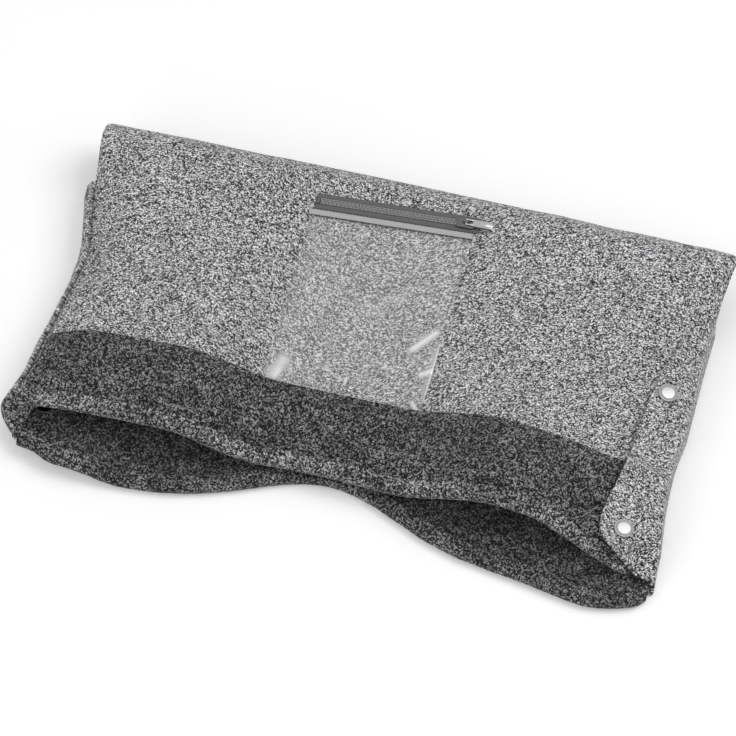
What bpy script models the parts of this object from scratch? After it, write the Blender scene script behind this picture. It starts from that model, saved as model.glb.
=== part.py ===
"""Hand muff for a pushchair handlebar, lying on its back panel. Metres, +Z up.

X runs along the handlebar, the fold is towards +Y and the mouth towards -Y.
The fabric is one sandwich of felt, wadding and plush, folded round the handlebar. The flaps turn on
their sewn edges, the zip's slider runs along its teeth, and the pull swings on the slider.
"""

import math

import bmesh
import bpy
from mathutils import Matrix, Vector

# Driving sizes of the folded body
BODY_WIDTH = 0.492
BODY_DEPTH = 0.322
FOLD_HEIGHT = 0.050
PANEL_TILT = math.radians(6.8)
FRONT_SETBACK = 0.0420
LOBE_SETBACK = 0.0060
RIM_SKEW = 0.0070
CORNER_REACH = 0.018
NOTCH_DEPTH = 0.043
NOTCH_WIDTH = 0.080
NOTCH_SHIFT = 0.008
LEFT_CORNER = 0.016
RIGHT_CORNER = 0.012
LOBE_RISE = 0.023
LEFT_FALL = 0.004
RIGHT_FALL = 0.018
FOLD_CROWN = 0.003
EDGE_HEIGHT = 0.030
EDGE_FALL = 0.014
CURL_WIDTH = 0.050

# Layers of the fabric, from outside to inside
FELT = 0.0020
WADDING = 0.0034
WADDING_EDGE = 0.0006
PLUSH = 0.0026
GAP = 0.0003
SIDE_INSET = 0.005
RIM_INSET = 0.009
TAPER_LENGTH = 0.025

# Rim bindings and the turned-up cuff
BINDING = 0.0018
BINDING_LEG = 0.008
CUFF_HEIGHT = 0.061
CUFF_DROP = 0.008
CUFF_LIFT = 0.0026
CUFF = 0.0032

# Side flaps: share of the length from top to foot, and how far the flap reaches in from the side
FLAP = 0.0022
RIGHT_FLAP_START = 0.0355
LEFT_FLAP_START = 0.0275
FLAP_SHORTER = 0.0825
FLAP_BULGE = 0.007
FLAP_STANDOFF = 0.0047
FLAP_OUTLINE = (
    (0.000, 0.0040),
    (0.029, 0.0105),
    (0.053, 0.0150),
    (0.099, 0.0215),
    (0.148, 0.0270),
    (0.218, 0.0315),
    (0.288, 0.0355),
    (0.379, 0.0385),
    (0.481, 0.0400),
    (0.593, 0.0412),
    (0.646, 0.0420),
    (0.708, 0.0435),
    (0.790, 0.0450),
    (0.852, 0.0445),
    (0.893, 0.0420),
    (0.922, 0.0370),
    (0.942, 0.0300),
    (0.963, 0.0210),
    (0.979, 0.0125),
    (1.000, 0.0040),
)

# Press studs
STUD_IN_FROM_EDGE = 0.0210
STUD_FLAT = 0.008
UPPER_STUD_FROM_TOP = 0.0820
LOWER_STUD_FROM_FOOT = 0.0325
CAP_RADIUS = 0.0075
CAP_HEIGHT = 0.0017
SOCKET_RADIUS = 0.0060
SOCKET_HEIGHT = 0.0022
SOCKET_MOUTH = 0.0047
RING_RADIUS = 0.00525
POST_RADIUS = 0.0016
HOLE_RADIUS = 0.0021
CENTRE_STUD_IN = 0.020
CENTRE_STACK = 0.0055
STUD_SEAT = 0.0008
CAP_SEAT = 0.0005
SOCKET_SEAT = 0.0005
CENTRE_SEAT = 0.0008
LATHE_STEPS = 16

# Phone pocket and its zip
POCKET_CENTRE = -0.011
POCKET_WIDTH = 0.126
POCKET_LENGTH = 0.1735
WINDOW = 0.0005
WINDOW_LIFT = 0.0005
HEM_WIDTH = 0.0051
ZIP_FROM_FOLD = 0.0140
ZIP_SKEW = math.radians(3.4)
ZIP_HALF_TAPE = 0.0068
TEETH_PITCH = 0.0030
TEETH_THICKNESS = 0.0016
SLIDER_LENGTH = 0.0135
PULL_LENGTH = 0.0205
PULL_REST = math.radians(-3.0)

# Places that follow from the sizes
HALF_WIDTH = BODY_WIDTH / 2
HALF_DEPTH = BODY_DEPTH / 2
FOLD_RADIUS = FOLD_HEIGHT / 2
FOLD_Y = HALF_DEPTH - FOLD_RADIUS - FOLD_CROWN
CURL_START = HALF_WIDTH - CURL_WIDTH
LIFT_FULL = FOLD_Y - 0.033
LIFT_START = HALF_WIDTH - 0.096
POCKET_LEFT = POCKET_CENTRE - POCKET_WIDTH / 2
POCKET_RIGHT = POCKET_CENTRE + POCKET_WIDTH / 2
ZIP_Y = FOLD_Y - ZIP_FROM_FOLD
POCKET_FOOT = ZIP_Y - POCKET_LENGTH
FLAP_LENGTH = BODY_DEPTH - FLAP_SHORTER
FLAP_TOPS = {1: FOLD_Y - RIGHT_FLAP_START, -1: FOLD_Y - LEFT_FLAP_START}
STUDS_FROM_TOP = (UPPER_STUD_FROM_TOP, FLAP_LENGTH - LOWER_STUD_FROM_FOOT)
SHEET_EDGE = FELT + GAP + PLUSH
LEFT_LIFT = FLAP_STANDOFF + FLAP + CAP_SEAT + CAP_HEIGHT + 0.0002
ROOT_LIFT = 0.001
PINCH_X = POCKET_CENTRE
PINCH_LIFT = 0.0024
PINCH_WIDTH = 0.034
RAMP_TOP = FOLD_Y - 0.0395
FALL_START = HALF_WIDTH - 0.123
ROLL = SHEET_EDGE / 2 + GAP + 0.0001 + BINDING
RIM_LIFT = GAP + BINDING + 0.0004


def smooth(t):
    """Eases from 0 to 1."""
    t = min(max(t, 0.0), 1.0)
    return t * t * (3 - 2 * t)


def spread(start, end, steps):
    """Evenly spaced values, both ends included."""
    return [start + (end - start) * i / steps for i in range(steps + 1)]


def eased(table, place):
    """Reads a table of (place, value) pairs, easing from each value to the next."""
    for (a, low), (b, high) in zip(table, table[1:]):
        if place <= b:
            return low + (high - low) * smooth((place - a) / (b - a))
    return table[-1][1]


# Outlines of the two rims, seen from above
def from_pinch(x):
    """Distance from the pinched middle, stretched so that either side edge is half the width away."""
    if x > PINCH_X:
        return (x - PINCH_X) * HALF_WIDTH / (HALF_WIDTH - PINCH_X)
    return (PINCH_X - x) * HALF_WIDTH / (HALF_WIDTH + PINCH_X)


def rim_skew(x):
    """The hand fold isn't quite square: the left end of either rim lies nearer to it."""
    return RIM_SKEW * (0.5 - x / BODY_WIDTH)


def back_rim(x):
    """Y of the back panel's rim: two lobes, of which the right one reaches further, and a notch between."""
    notch = NOTCH_DEPTH * math.exp(-((x - PINCH_X - NOTCH_SHIFT) / NOTCH_WIDTH) ** 2)
    corner = RIGHT_CORNER if x > 0 else LEFT_CORNER
    rounded = corner * smooth((abs(x) - HALF_WIDTH + 0.040) / 0.040)
    setback = LOBE_SETBACK * (1 - smooth((x - HALF_WIDTH + 0.126) / 0.090))
    return -HALF_DEPTH + ROLL + rim_skew(x) + setback + notch + rounded


def front_rim(x):
    """Y of the front panel's rim, a little inside the back one."""
    reach = 0.0065 * smooth(from_pinch(x) / 0.110)
    corner = CORNER_REACH * smooth((x - HALF_WIDTH + 0.100) / 0.090)
    return -HALF_DEPTH + ROLL + rim_skew(x) + FRONT_SETBACK + 0.0065 - reach - corner


def cuff_top(x):
    """Y of the cuff's upper edge."""
    right_drop = CUFF_DROP * smooth((x - HALF_WIDTH + 0.196) / 0.190)
    left_drop = CUFF_DROP * 0.6 * smooth((-x - HALF_WIDTH + 0.060) / 0.060)
    return front_rim(PINCH_X) + CUFF_HEIGHT - right_drop - left_drop


# Heights of the fabric's outer face
def wadding_thickness(from_side, from_rim):
    """The padding thins towards every seam."""
    inside = min(from_side - SIDE_INSET, from_rim - RIM_INSET)
    return WADDING_EDGE + (WADDING - WADDING_EDGE) * smooth(inside / TAPER_LENGTH)


def sandwich(x, from_rim):
    """Thickness of the whole fabric at a place."""
    return SHEET_EDGE + GAP + wadding_thickness(HALF_WIDTH - abs(x), from_rim)


def front_plane(y):
    """The front panel's plane, which leaves the fold without a kink and falls to the mouth."""
    end_y = FOLD_Y + FOLD_RADIUS * math.sin(PANEL_TILT)
    end_z = FOLD_RADIUS + FOLD_RADIUS * math.cos(PANEL_TILT)
    return end_z - (end_y - y) * math.tan(PANEL_TILT)


CENTRE_STUD_Y = front_rim(PINCH_X) + CENTRE_STUD_IN
BACK_CENTRE = sandwich(PINCH_X, CENTRE_STUD_Y - back_rim(PINCH_X))
FRONT_CENTRE = sandwich(PINCH_X, CENTRE_STUD_IN)
PINCH_DROP = front_plane(CENTRE_STUD_Y) - PINCH_LIFT - BACK_CENTRE - CENTRE_STACK - FRONT_CENTRE


def pinch_share(x):
    """How much of the pinch reaches a place, 1 in the middle."""
    return math.exp(-(((x - PINCH_X) / PINCH_WIDTH) ** 2))


def front_height(x, y):
    """Height of the front panel's outer face: gaping lobes, a pinched middle and curled sides."""
    across = abs(x)
    to_rim = smooth((RAMP_TOP - y) / (RAMP_TOP - front_rim(x)))
    lobes = LOBE_RISE * smooth((from_pinch(x) - 0.045) / 0.080)
    lobes -= (RIGHT_FALL if x > 0 else LEFT_FALL) * smooth((across - FALL_START) / 0.110)
    pinch = PINCH_DROP * pinch_share(x) * smooth((CENTRE_STUD_Y + 0.045 - y) / 0.045)
    z = front_plane(y) + lobes * to_rim - pinch
    edge = EDGE_HEIGHT - (EDGE_FALL * to_rim if x > 0 else 0.0)
    curl = max(0.0, (across - CURL_START) / CURL_WIDTH) ** 2
    return z + (edge - z) * curl * smooth((FOLD_Y + 0.002 - y) / 0.035)


def back_height(x, y):
    """Height of the back panel's outer face: flat, but lifted over the left flap, the pinch and the rim."""
    from_fold = smooth((FOLD_Y - y) / (FOLD_Y - LIFT_FULL))
    left = smooth((-x - LIFT_START) / 0.048) * from_fold
    right = ROOT_LIFT * max(0.0, (x - CURL_START) / CURL_WIDTH) ** 2 * from_fold
    pinch = PINCH_LIFT * pinch_share(x) * smooth((CENTRE_STUD_Y + 0.020 - y) / 0.024)
    rim = RIM_LIFT * smooth((back_rim(x) + 0.028 - y) / 0.018)
    return LEFT_LIFT * left + max(right, pinch, rim * (1 - left))


# Places of the sheet's columns and rows, shared by every layer so that their facets lie parallel
def sheet_columns():
    """X of each column: a flat stretch at the side studs, and one at each side of the pocket."""
    stud = HALF_WIDTH - STUD_IN_FROM_EDGE
    side = [HALF_WIDTH, HALF_WIDTH - SIDE_INSET, stud + STUD_FLAT, stud - STUD_FLAT, CURL_START]
    left = [-x for x in side]
    left += spread(-CURL_START, POCKET_LEFT, 4)[1:]
    middle = spread(POCKET_LEFT, POCKET_RIGHT, 4)[1:-1]
    right = spread(POCKET_RIGHT, CURL_START, 5) + side[-2::-1]
    return left + middle + right


FRONT_ROWS = [FOLD_Y - 0.015] + spread(FOLD_Y - 0.033, -HALF_DEPTH + 0.1325, 4)


def sheet_path(x):
    """Points of the outer face at one column, from the back rim round the fold to the front rim."""
    path = []
    low = back_rim(x)
    rim_rows = [low, low + RIM_INSET, low + RIM_INSET + 0.014]
    for y in rim_rows + spread(rim_rows[-1], LIFT_FULL, 4)[1:] + spread(LIFT_FULL, FOLD_Y, 3)[1:]:
        path.append(Vector((x, y, back_height(x, y))))
    crown = FOLD_CROWN * (1 - (x / HALF_WIDTH) ** 2)
    for turn in spread(-math.pi / 2, math.pi / 2 - PANEL_TILT, 8)[1:]:
        fullness = crown * math.cos(turn) ** 2
        y = FOLD_Y + FOLD_RADIUS * math.cos(turn) + fullness
        path.append(Vector((x, y, FOLD_RADIUS * (1 + math.sin(turn)))))
    edge = front_rim(x)
    last = edge + RIM_INSET + 0.014
    rows = list(FRONT_ROWS) + spread(FRONT_ROWS[-1], last, 3)[1:] + [edge + RIM_INSET, edge]
    for y in rows:
        path.append(Vector((x, y, front_height(x, y))))
    return path


# Scene, materials and helpers
def clear_scene():
    for obj in list(bpy.data.objects):
        bpy.data.objects.remove(obj, do_unlink=True)


def new_collection(name):
    collection = bpy.data.collections.new(name)
    bpy.context.scene.collection.children.link(collection)
    return collection


def plain_material(name, colour, roughness, metallic=0.0, alpha=1.0):
    material = bpy.data.materials.new(name)
    material.use_nodes = True
    shader = material.node_tree.nodes["Principled BSDF"]
    shader.inputs["Base Color"].default_value = (*colour, 1.0)
    shader.inputs["Roughness"].default_value = roughness
    shader.inputs["Metallic"].default_value = metallic
    shader.inputs["Alpha"].default_value = alpha
    return material


def felt_material():
    return plain_material("melange_felt", (0.30, 0.30, 0.31), 0.95)


def plush_material():
    return plain_material("dark_plush", (0.075, 0.075, 0.08), 1.0)


def wadding_material():
    return plain_material("white_wadding", (0.82, 0.82, 0.80), 1.0)


def window_material():
    return plain_material("clear_vinyl", (0.90, 0.92, 0.93), 0.12, alpha=0.35)


def hem_material():
    return plain_material("pale_hem", (0.45, 0.45, 0.46), 0.6)


def tape_material():
    return plain_material("zip_tape", (0.08, 0.08, 0.085), 0.9)


def teeth_material():
    return plain_material("zip_plastic", (0.12, 0.12, 0.125), 0.45)


def slider_material():
    return plain_material("slider_metal", (0.35, 0.35, 0.36), 0.35, metallic=1.0)


def cap_material():
    return plain_material("stud_metal", (0.85, 0.85, 0.86), 0.25, metallic=1.0)


class Workshop:
    """Holds the two collections and the materials that the parts share."""

    def __init__(self):
        self.parts = new_collection("stroller_hand_muff")
        self.cutters = new_collection("cutters")
        self.cutters.hide_render = True
        self.felt = felt_material()
        self.plush = plush_material()
        self.wadding = wadding_material()
        self.window = window_material()
        self.hem = hem_material()
        self.tape = tape_material()
        self.teeth = teeth_material()
        self.slider = slider_material()
        self.cap = cap_material()

    def add(self, name, bm, material, frame=None):
        """Turns a bmesh into a named object with its own material."""
        mesh = bpy.data.meshes.new(name)
        bm.to_mesh(mesh)
        bm.free()
        obj = bpy.data.objects.new(name, mesh)
        obj.data.materials.append(material)
        if frame is not None:
            obj.matrix_world = frame
        self.parts.objects.link(obj)
        return obj

    def add_cutter(self, name, bm, frame):
        mesh = bpy.data.meshes.new(name)
        bm.to_mesh(mesh)
        bm.free()
        obj = bpy.data.objects.new(name, mesh)
        obj.matrix_world = frame
        obj.hide_render = True
        obj.display_type = "WIRE"
        self.cutters.objects.link(obj)
        return obj


def grid_bmesh(rows, turned=False):
    """A sheet through rows of points. Turned, its faces look to the other side.

    The quads are cut along the same diagonal in every layer, so that the layers stay parallel.
    """
    bm = bmesh.new()
    across = len(rows[0])
    bmesh.ops.create_grid(bm, x_segments=across - 1, y_segments=len(rows) - 1, size=0.1)
    bm.verts.ensure_lookup_table()
    for j, row in enumerate(rows):
        for i, point in enumerate(row):
            bm.verts[j * across + i].co = point
    if turned:
        bmesh.ops.reverse_faces(bm, faces=bm.faces[:])
    bmesh.ops.triangulate(bm, faces=bm.faces[:], quad_method="FIXED")
    bm.normal_update()
    return bm


def solidify(obj, thickness, outward=False, group=None, least=0.0):
    modifier = obj.modifiers.new("Thickness", "SOLIDIFY")
    modifier.thickness = thickness
    modifier.offset = 1.0 if outward else -1.0
    modifier.use_even_offset = False
    if group is not None:
        modifier.vertex_group = group
        modifier.thickness_vertex_group = least
    return modifier


def cut(obj, cutter):
    modifier = obj.modifiers.new("Hole", "BOOLEAN")
    modifier.operation = "DIFFERENCE"
    modifier.solver = "EXACT"
    modifier.object = cutter
    return modifier


def soften_edges(obj, width, segments=1, angle=50):
    modifier = obj.modifiers.new("Edges", "BEVEL")
    modifier.width = width
    modifier.segments = segments
    modifier.limit_method = "ANGLE"
    modifier.angle_limit = math.radians(angle)
    return modifier


def box_bmesh(low, high):
    """An upright box between two corners."""
    bm = bmesh.new()
    bmesh.ops.create_cube(bm, size=1.0)
    for vert in bm.verts:
        vert.co = Vector(
            low[axis] if vert.co[axis] < 0 else high[axis] for axis in range(3)
        )
    return bm


def prism_bmesh(outline, low, high):
    """An outline in X and Y, raised from one height to another."""
    bm = bmesh.new()
    face = bm.faces.new([bm.verts.new((x, y, low)) for x, y in outline])
    raised = bmesh.ops.extrude_face_region(bm, geom=[face])
    moved = [item for item in raised["geom"] if isinstance(item, bmesh.types.BMVert)]
    bmesh.ops.translate(bm, verts=moved, vec=(0, 0, high - low))
    bmesh.ops.recalc_face_normals(bm, faces=bm.faces[:])
    return bm


def lathe_bmesh(profile):
    """Turns a closed profile of (radius, height) points round the Z axis."""
    bm = bmesh.new()
    verts = [bm.verts.new((radius, 0, height)) for radius, height in profile]
    edges = [bm.edges.new(pair) for pair in zip(verts, verts[1:] + verts[:1])]
    inner = [edge for edge in edges if max(vert.co.x for vert in edge.verts) < 1e-9]
    bmesh.ops.delete(bm, geom=inner, context="EDGES_FACES")
    bmesh.ops.spin(
        bm,
        geom=bm.verts[:] + bm.edges[:],
        cent=(0, 0, 0),
        axis=(0, 0, 1),
        angle=math.tau,
        steps=LATHE_STEPS,
        use_merge=True,
    )
    bmesh.ops.remove_doubles(bm, verts=bm.verts[:], dist=1e-6)
    bmesh.ops.recalc_face_normals(bm, faces=bm.faces[:])
    return bm


def rod_bmesh(radius, low, high):
    return lathe_bmesh([(0, low), (radius, low), (radius, high), (0, high)])


# The folded fabric
class Sheet:
    """The folded sandwich: one grid of places that every layer offsets from."""

    def __init__(self):
        self.columns = sheet_columns()
        self.paths = [sheet_path(x) for x in self.columns]
        self.row_count = len(self.paths[0])
        bm = grid_bmesh(self.rows(), turned=True)
        bm.verts.ensure_lookup_table()
        wide = len(self.columns)
        self.normals = [
            [bm.verts[j * wide + i].normal.copy() for i in range(wide)]
            for j in range(self.row_count)
        ]
        bm.free()

    def rows(self):
        return [
            [path[j] for path in self.paths] for j in range(self.row_count)
        ]

    def from_rim(self, i, j):
        """Distance along a column from its nearer rim."""
        path = self.paths[i]
        start = sum((path[k + 1] - path[k]).length for k in range(j))
        end = sum((path[k + 1] - path[k]).length for k in range(j, self.row_count - 1))
        return min(start, end)

    def padding(self, i, j):
        """Thickness of the wadding at a place, 0 outside it."""
        beside = HALF_WIDTH - abs(self.columns[i])
        if beside < SIDE_INSET - 1e-6 or j in (0, self.row_count - 1):
            return 0.0
        return wadding_thickness(beside, self.from_rim(i, j))

    def lining_offset(self, i, j):
        """Depth of the lining's outer face below the felt's outer face."""
        pad = self.padding(i, j)
        return FELT + GAP + (pad + GAP if pad else 0.0)

    def offset_rows(self, depth, trim=0):
        """The grid moved in by a depth, or by a function of the place, and trimmed at every side."""
        last = self.row_count - trim
        wide = len(self.columns) - trim
        return [
            [
                self.paths[i][j] - self.normals[j][i] * (depth(i, j) if callable(depth) else depth)
                for i in range(trim, wide)
            ]
            for j in range(trim, last)
        ]


def build_felt(shop, sheet):
    obj = shop.add("felt_shell", grid_bmesh(sheet.rows(), turned=True), shop.felt)
    solidify(obj, FELT)
    return obj


def build_wadding(shop, sheet):
    bm = grid_bmesh(sheet.offset_rows(FELT + GAP, trim=1), turned=True)
    obj = shop.add("wadding", bm, shop.wadding)
    group = obj.vertex_groups.new(name="loft")
    wide = len(sheet.columns) - 2
    for j in range(1, sheet.row_count - 1):
        for i in range(1, len(sheet.columns) - 1):
            share = sheet.padding(i, j) / WADDING
            group.add([(j - 1) * wide + i - 1], share, "REPLACE")
    solidify(obj, WADDING, group=group.name)
    return obj


def build_lining(shop, sheet):
    bm = grid_bmesh(sheet.offset_rows(sheet.lining_offset), turned=True)
    obj = shop.add("plush_lining", bm, shop.plush)
    solidify(obj, PLUSH)
    return obj


def binding_section(edge, inner, normal, grow):
    """Points of a binding's inner face at one column: down the outside, round the rim, up the inside."""
    along = (edge - inner).normalized()
    clear = GAP + 0.0001
    radius = SHEET_EDGE / 2 + clear
    middle = edge - normal * (SHEET_EDGE / 2)
    section = [edge - along * BINDING_LEG + normal * clear]
    for turn in spread(0.0, math.pi, 5):
        section.append(middle + normal * (radius * math.cos(turn)) + along * (radius * math.sin(turn)))
    depth = SHEET_EDGE + clear + grow * BINDING_LEG
    section.append(edge - along * BINDING_LEG - normal * depth)
    return section


def build_binding(shop, sheet, name, end):
    """A strip of plush folded round one rim. The end is 0 for the back rim and -1 for the front rim.

    The back one stops a little short of the sides, where the flaps turn round it.
    """
    beside = 1 if end == 0 else -2
    short = 1 if end == 0 else 0
    grow = (WADDING_EDGE + GAP) / RIM_INSET
    rows = []
    for i in range(short, len(sheet.columns) - short):
        path = sheet.paths[i]
        rows.append(binding_section(path[end], path[beside], sheet.normals[end][i], grow))
    obj = shop.add(name, grid_bmesh(rows, turned=end == 0), shop.plush)
    solidify(obj, BINDING, outward=True)
    return obj


def outer_normal(height, x, y, up):
    """Outward normal of a panel's outer face. Up is 1 for the front panel and -1 for the back one."""
    step = 0.0005
    slope_x = (height(x + step, y) - height(x - step, y)) / (2 * step)
    slope_y = (height(x, y + step) - height(x, y - step)) / (2 * step)
    return Vector((-slope_x, -slope_y, 1.0)).normalized() * up


def cuff_rise(from_seam, from_top):
    """Heights of the cuff's inner and outer faces over the felt."""
    at_seam = smooth(from_seam / 0.006)
    at_top = smooth(from_top / 0.010)
    inner = (GAP + 0.0001) + (CUFF_LIFT - GAP - 0.0001) * at_seam
    inner -= (CUFF_LIFT - 0.0014) * (1 - at_top)
    thickness = BINDING + (CUFF - BINDING) * at_seam
    thickness -= 0.0006 * (1 - at_top)
    return inner, inner + thickness


def cuff_columns():
    """The sheet's columns that the cuff covers: to the left edge, and short of the right curl's end."""
    columns = sheet_columns()
    return [-(HALF_WIDTH - 0.0012)] + columns[1:-2] + [HALF_WIDTH - 0.0075]


def build_cuff(shop):
    """The plush band turned up over the front. Its faces are offset from the front panel."""
    outer = []
    thickness = []
    for share in (0.0, 0.055, 0.13, 0.28, 0.46, 0.64, 0.80, 0.91, 0.965, 1.0):
        row = []
        for x in cuff_columns():
            seam = front_rim(x) + BINDING_LEG + GAP
            y = seam + (cuff_top(x) - seam) * share
            low, high = cuff_rise(y - seam, cuff_top(x) - y)
            normal = outer_normal(front_height, x, y, 1)
            row.append(Vector((x, y, front_height(x, y))) + normal * high)
            thickness.append((high - low) / CUFF)
        outer.append(row)
    obj = shop.add("front_cuff", grid_bmesh(outer), shop.plush)
    group = obj.vertex_groups.new(name="loft")
    for index, share in enumerate(thickness):
        group.add([index], share, "REPLACE")
    solidify(obj, CUFF, group=group.name)
    return obj


# Side flaps
def cuff_cover(x, y):
    """How far the cuff lifts what lies over it."""
    return (CUFF_LIFT + CUFF) * smooth((cuff_top(x) + 0.006 - y) / 0.013)


def right_base(x, y):
    """Height of what the right flap lies on."""
    return front_height(x, y) + cuff_cover(x, y)


def left_base(x, y):
    """Height of what the left flap lies under, as a depth below the front's edge."""
    return EDGE_HEIGHT - back_height(x, y)


def resampled(points, steps):
    """Points at even steps of length along a line of points."""
    lengths = [0.0]
    for start, end in zip(points, points[1:]):
        lengths.append(lengths[-1] + math.dist(start, end))
    result = []
    for goal in spread(0.0, lengths[-1], steps):
        place = 0
        while place < len(points) - 2 and lengths[place + 1] < goal:
            place += 1
        share = (goal - lengths[place]) / (lengths[place + 1] - lengths[place])
        start = Vector(points[place])
        result.append(tuple(start + (Vector(points[place + 1]) - start) * share))
    return result


def flap_section(base, y, reach, root_z):
    """Inner face of a flap at one place along it: from its root round the side to its free edge.

    The points are (distance from the middle, height), for a flap that rises from its root.
    """
    corner = HALF_WIDTH - 0.010
    side = HALF_WIDTH + FLAP_BULGE - FLAP
    root = HALF_WIDTH + 0.0017
    middle = root_z + 0.014
    free = HALF_WIDTH + FLAP_BULGE - reach
    bend = 3.0
    lower = []
    for turn in spread(-math.pi / 2, 0.0, 3):
        out = abs(math.cos(turn)) ** (2 / bend)
        down = abs(math.sin(turn)) ** (2 / bend)
        lower.append((root + (side - root) * out, middle - (middle - root_z) * down))
    upper = []
    for turn in spread(0.0, math.pi / 2, 36):
        out = abs(math.cos(turn)) ** (2 / bend)
        rise = abs(math.sin(turn)) ** (2 / bend)
        across = corner + (side - corner) * out
        top = base(min(across, HALF_WIDTH), y) + FLAP_STANDOFF
        upper.append((across, middle + (top - middle) * rise))
    for across in spread(corner, HALF_WIDTH - 0.050, 40)[1:]:
        upper.append((across, base(across, y) + FLAP_STANDOFF))
    kept = [point for point in upper if point[0] >= free]
    return lower[:-1] + resampled(kept, 9)


def flap_rows(base, root_z, top):
    rows = []
    for share, reach in FLAP_OUTLINE:
        y = top - FLAP_LENGTH * share
        rows.append([(x, y, z) for x, z in flap_section(base, y, reach, root_z)])
    return rows


def build_right_flap(shop):
    """Sewn to the back panel's right edge, wrapped up over the front. It turns on its root."""
    root_z = ROOT_LIFT + FLAP
    pivot = Vector((HALF_WIDTH + 0.0004, 0, ROOT_LIFT))
    rows = [[Vector(point) - pivot for point in row] for row in flap_rows(right_base, root_z, FLAP_TOPS[1])]
    obj = shop.add("right_flap", grid_bmesh(rows), shop.felt, Matrix.Translation(pivot))
    solidify(obj, FLAP, outward=True)
    return obj


def build_left_flap(shop):
    """Sewn to the front panel's left edge, wrapped down under the back. It turns on its root."""
    pivot = Vector((-(HALF_WIDTH + 0.0004), 0, EDGE_HEIGHT))
    rows = []
    for row in flap_rows(lambda x, y: left_base(-x, y), FLAP, FLAP_TOPS[-1]):
        rows.append([Vector((-x, y, EDGE_HEIGHT - z)) - pivot for x, y, z in row])
    obj = shop.add("left_flap", grid_bmesh(rows), shop.felt, Matrix.Translation(pivot))
    solidify(obj, FLAP, outward=True)
    return obj


# Press studs
def stud_frame(point, normal):
    """A frame at a place on a face, with Z along the face's normal."""
    return Matrix.Translation(point) @ normal.to_track_quat("Z", "Y").to_matrix().to_4x4()


def cap_bmesh(seat, foot):
    """The domed cap with its post. The seat is the height of its underside, the foot its post's end."""
    return lathe_bmesh(
        [
            (0, foot),
            (POST_RADIUS, foot),
            (POST_RADIUS, seat),
            (CAP_RADIUS - 0.0004, seat),
            (CAP_RADIUS, seat + 0.0003),
            (CAP_RADIUS - 0.0002, seat + 0.0008),
            (CAP_RADIUS * 0.78, seat + CAP_HEIGHT * 0.82),
            (CAP_RADIUS * 0.40, seat + CAP_HEIGHT * 0.97),
            (0, seat + CAP_HEIGHT),
        ]
    )


def socket_bmesh(top):
    """The female ring. Its mouth leaves room for the stud to swing out as the flap opens."""
    low = top - SOCKET_HEIGHT
    ceiling = low + 0.0015
    bore = POST_RADIUS + GAP
    return lathe_bmesh(
        [
            (SOCKET_MOUTH, low),
            (SOCKET_RADIUS - 0.0003, low),
            (SOCKET_RADIUS, low + 0.0004),
            (SOCKET_RADIUS, top - 0.0003),
            (SOCKET_RADIUS - 0.0005, top),
            (bore, top),
            (bore, ceiling),
            (SOCKET_MOUTH, ceiling),
        ]
    )


def stud_bmesh(seat):
    """The male half: a flange with a short rounded head, hollow for the ring's post."""
    bore = POST_RADIUS + GAP
    return lathe_bmesh(
        [
            (bore, seat),
            (RING_RADIUS - 0.0002, seat),
            (RING_RADIUS, seat + 0.0003),
            (RING_RADIUS - 0.0003, seat + 0.0007),
            (0.0023, seat + 0.0007),
            (0.0024, seat + 0.0015),
            (0.0018, seat + 0.0020),
            (0, seat + 0.0020),
            (0, seat + 0.0012),
            (bore, seat + 0.0012),
        ]
    )


def ring_bmesh(depth, top):
    """The back ring on the lining, with its post up through the fabric."""
    seat = -depth
    return lathe_bmesh(
        [
            (0, seat - 0.0008),
            (RING_RADIUS - 0.0003, seat - 0.0008),
            (RING_RADIUS, seat - 0.0004),
            (RING_RADIUS - 0.0002, seat),
            (POST_RADIUS, seat),
            (POST_RADIUS, top),
            (0, top),
        ]
    )


def build_side_studs(shop, layers, flap, side, place, number):
    """One set of four pieces that holds a flap to the panel beneath it."""
    x = side * (HALF_WIDTH - STUD_IN_FROM_EDGE)
    y = place
    label = ("left" if side < 0 else "right") + ("_upper" if number == 0 else "_lower")
    height = back_height if side < 0 else front_height
    normal = outer_normal(height, x, y, side)
    rim = back_rim(x) if side < 0 else front_rim(x)
    depth = sandwich(x, y - rim)
    cover = cuff_cover(x, y) if side > 0 else 0.0
    surface = Vector((x, y, height(x, y))) + normal * cover
    frame = stud_frame(surface, normal)
    flap_face = FLAP_STANDOFF * abs(normal.z)
    outside = flap_face + FLAP + CAP_SEAT

    shop.add(label + "_cap", cap_bmesh(outside, flap_face - SOCKET_SEAT - 0.0005), shop.cap, frame)
    shop.add(label + "_socket", socket_bmesh(flap_face - SOCKET_SEAT), shop.cap, frame)
    shop.add(label + "_stud", stud_bmesh(STUD_SEAT), shop.cap, frame)
    ring = ring_bmesh(depth + cover + STUD_SEAT, STUD_SEAT + 0.0009)
    shop.add(label + "_ring", ring, shop.cap, frame)

    through = rod_bmesh(HOLE_RADIUS, -depth - cover - 0.002, 0.0012)
    panel_hole = shop.add_cutter(label + "_panel_hole", through, frame)
    for obj in layers:
        cut(obj, panel_hole)
    flap_through = rod_bmesh(HOLE_RADIUS, flap_face - 0.0012, outside + 0.0012)
    cut(flap, shop.add_cutter(label + "_flap_hole", flap_through, frame))


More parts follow.
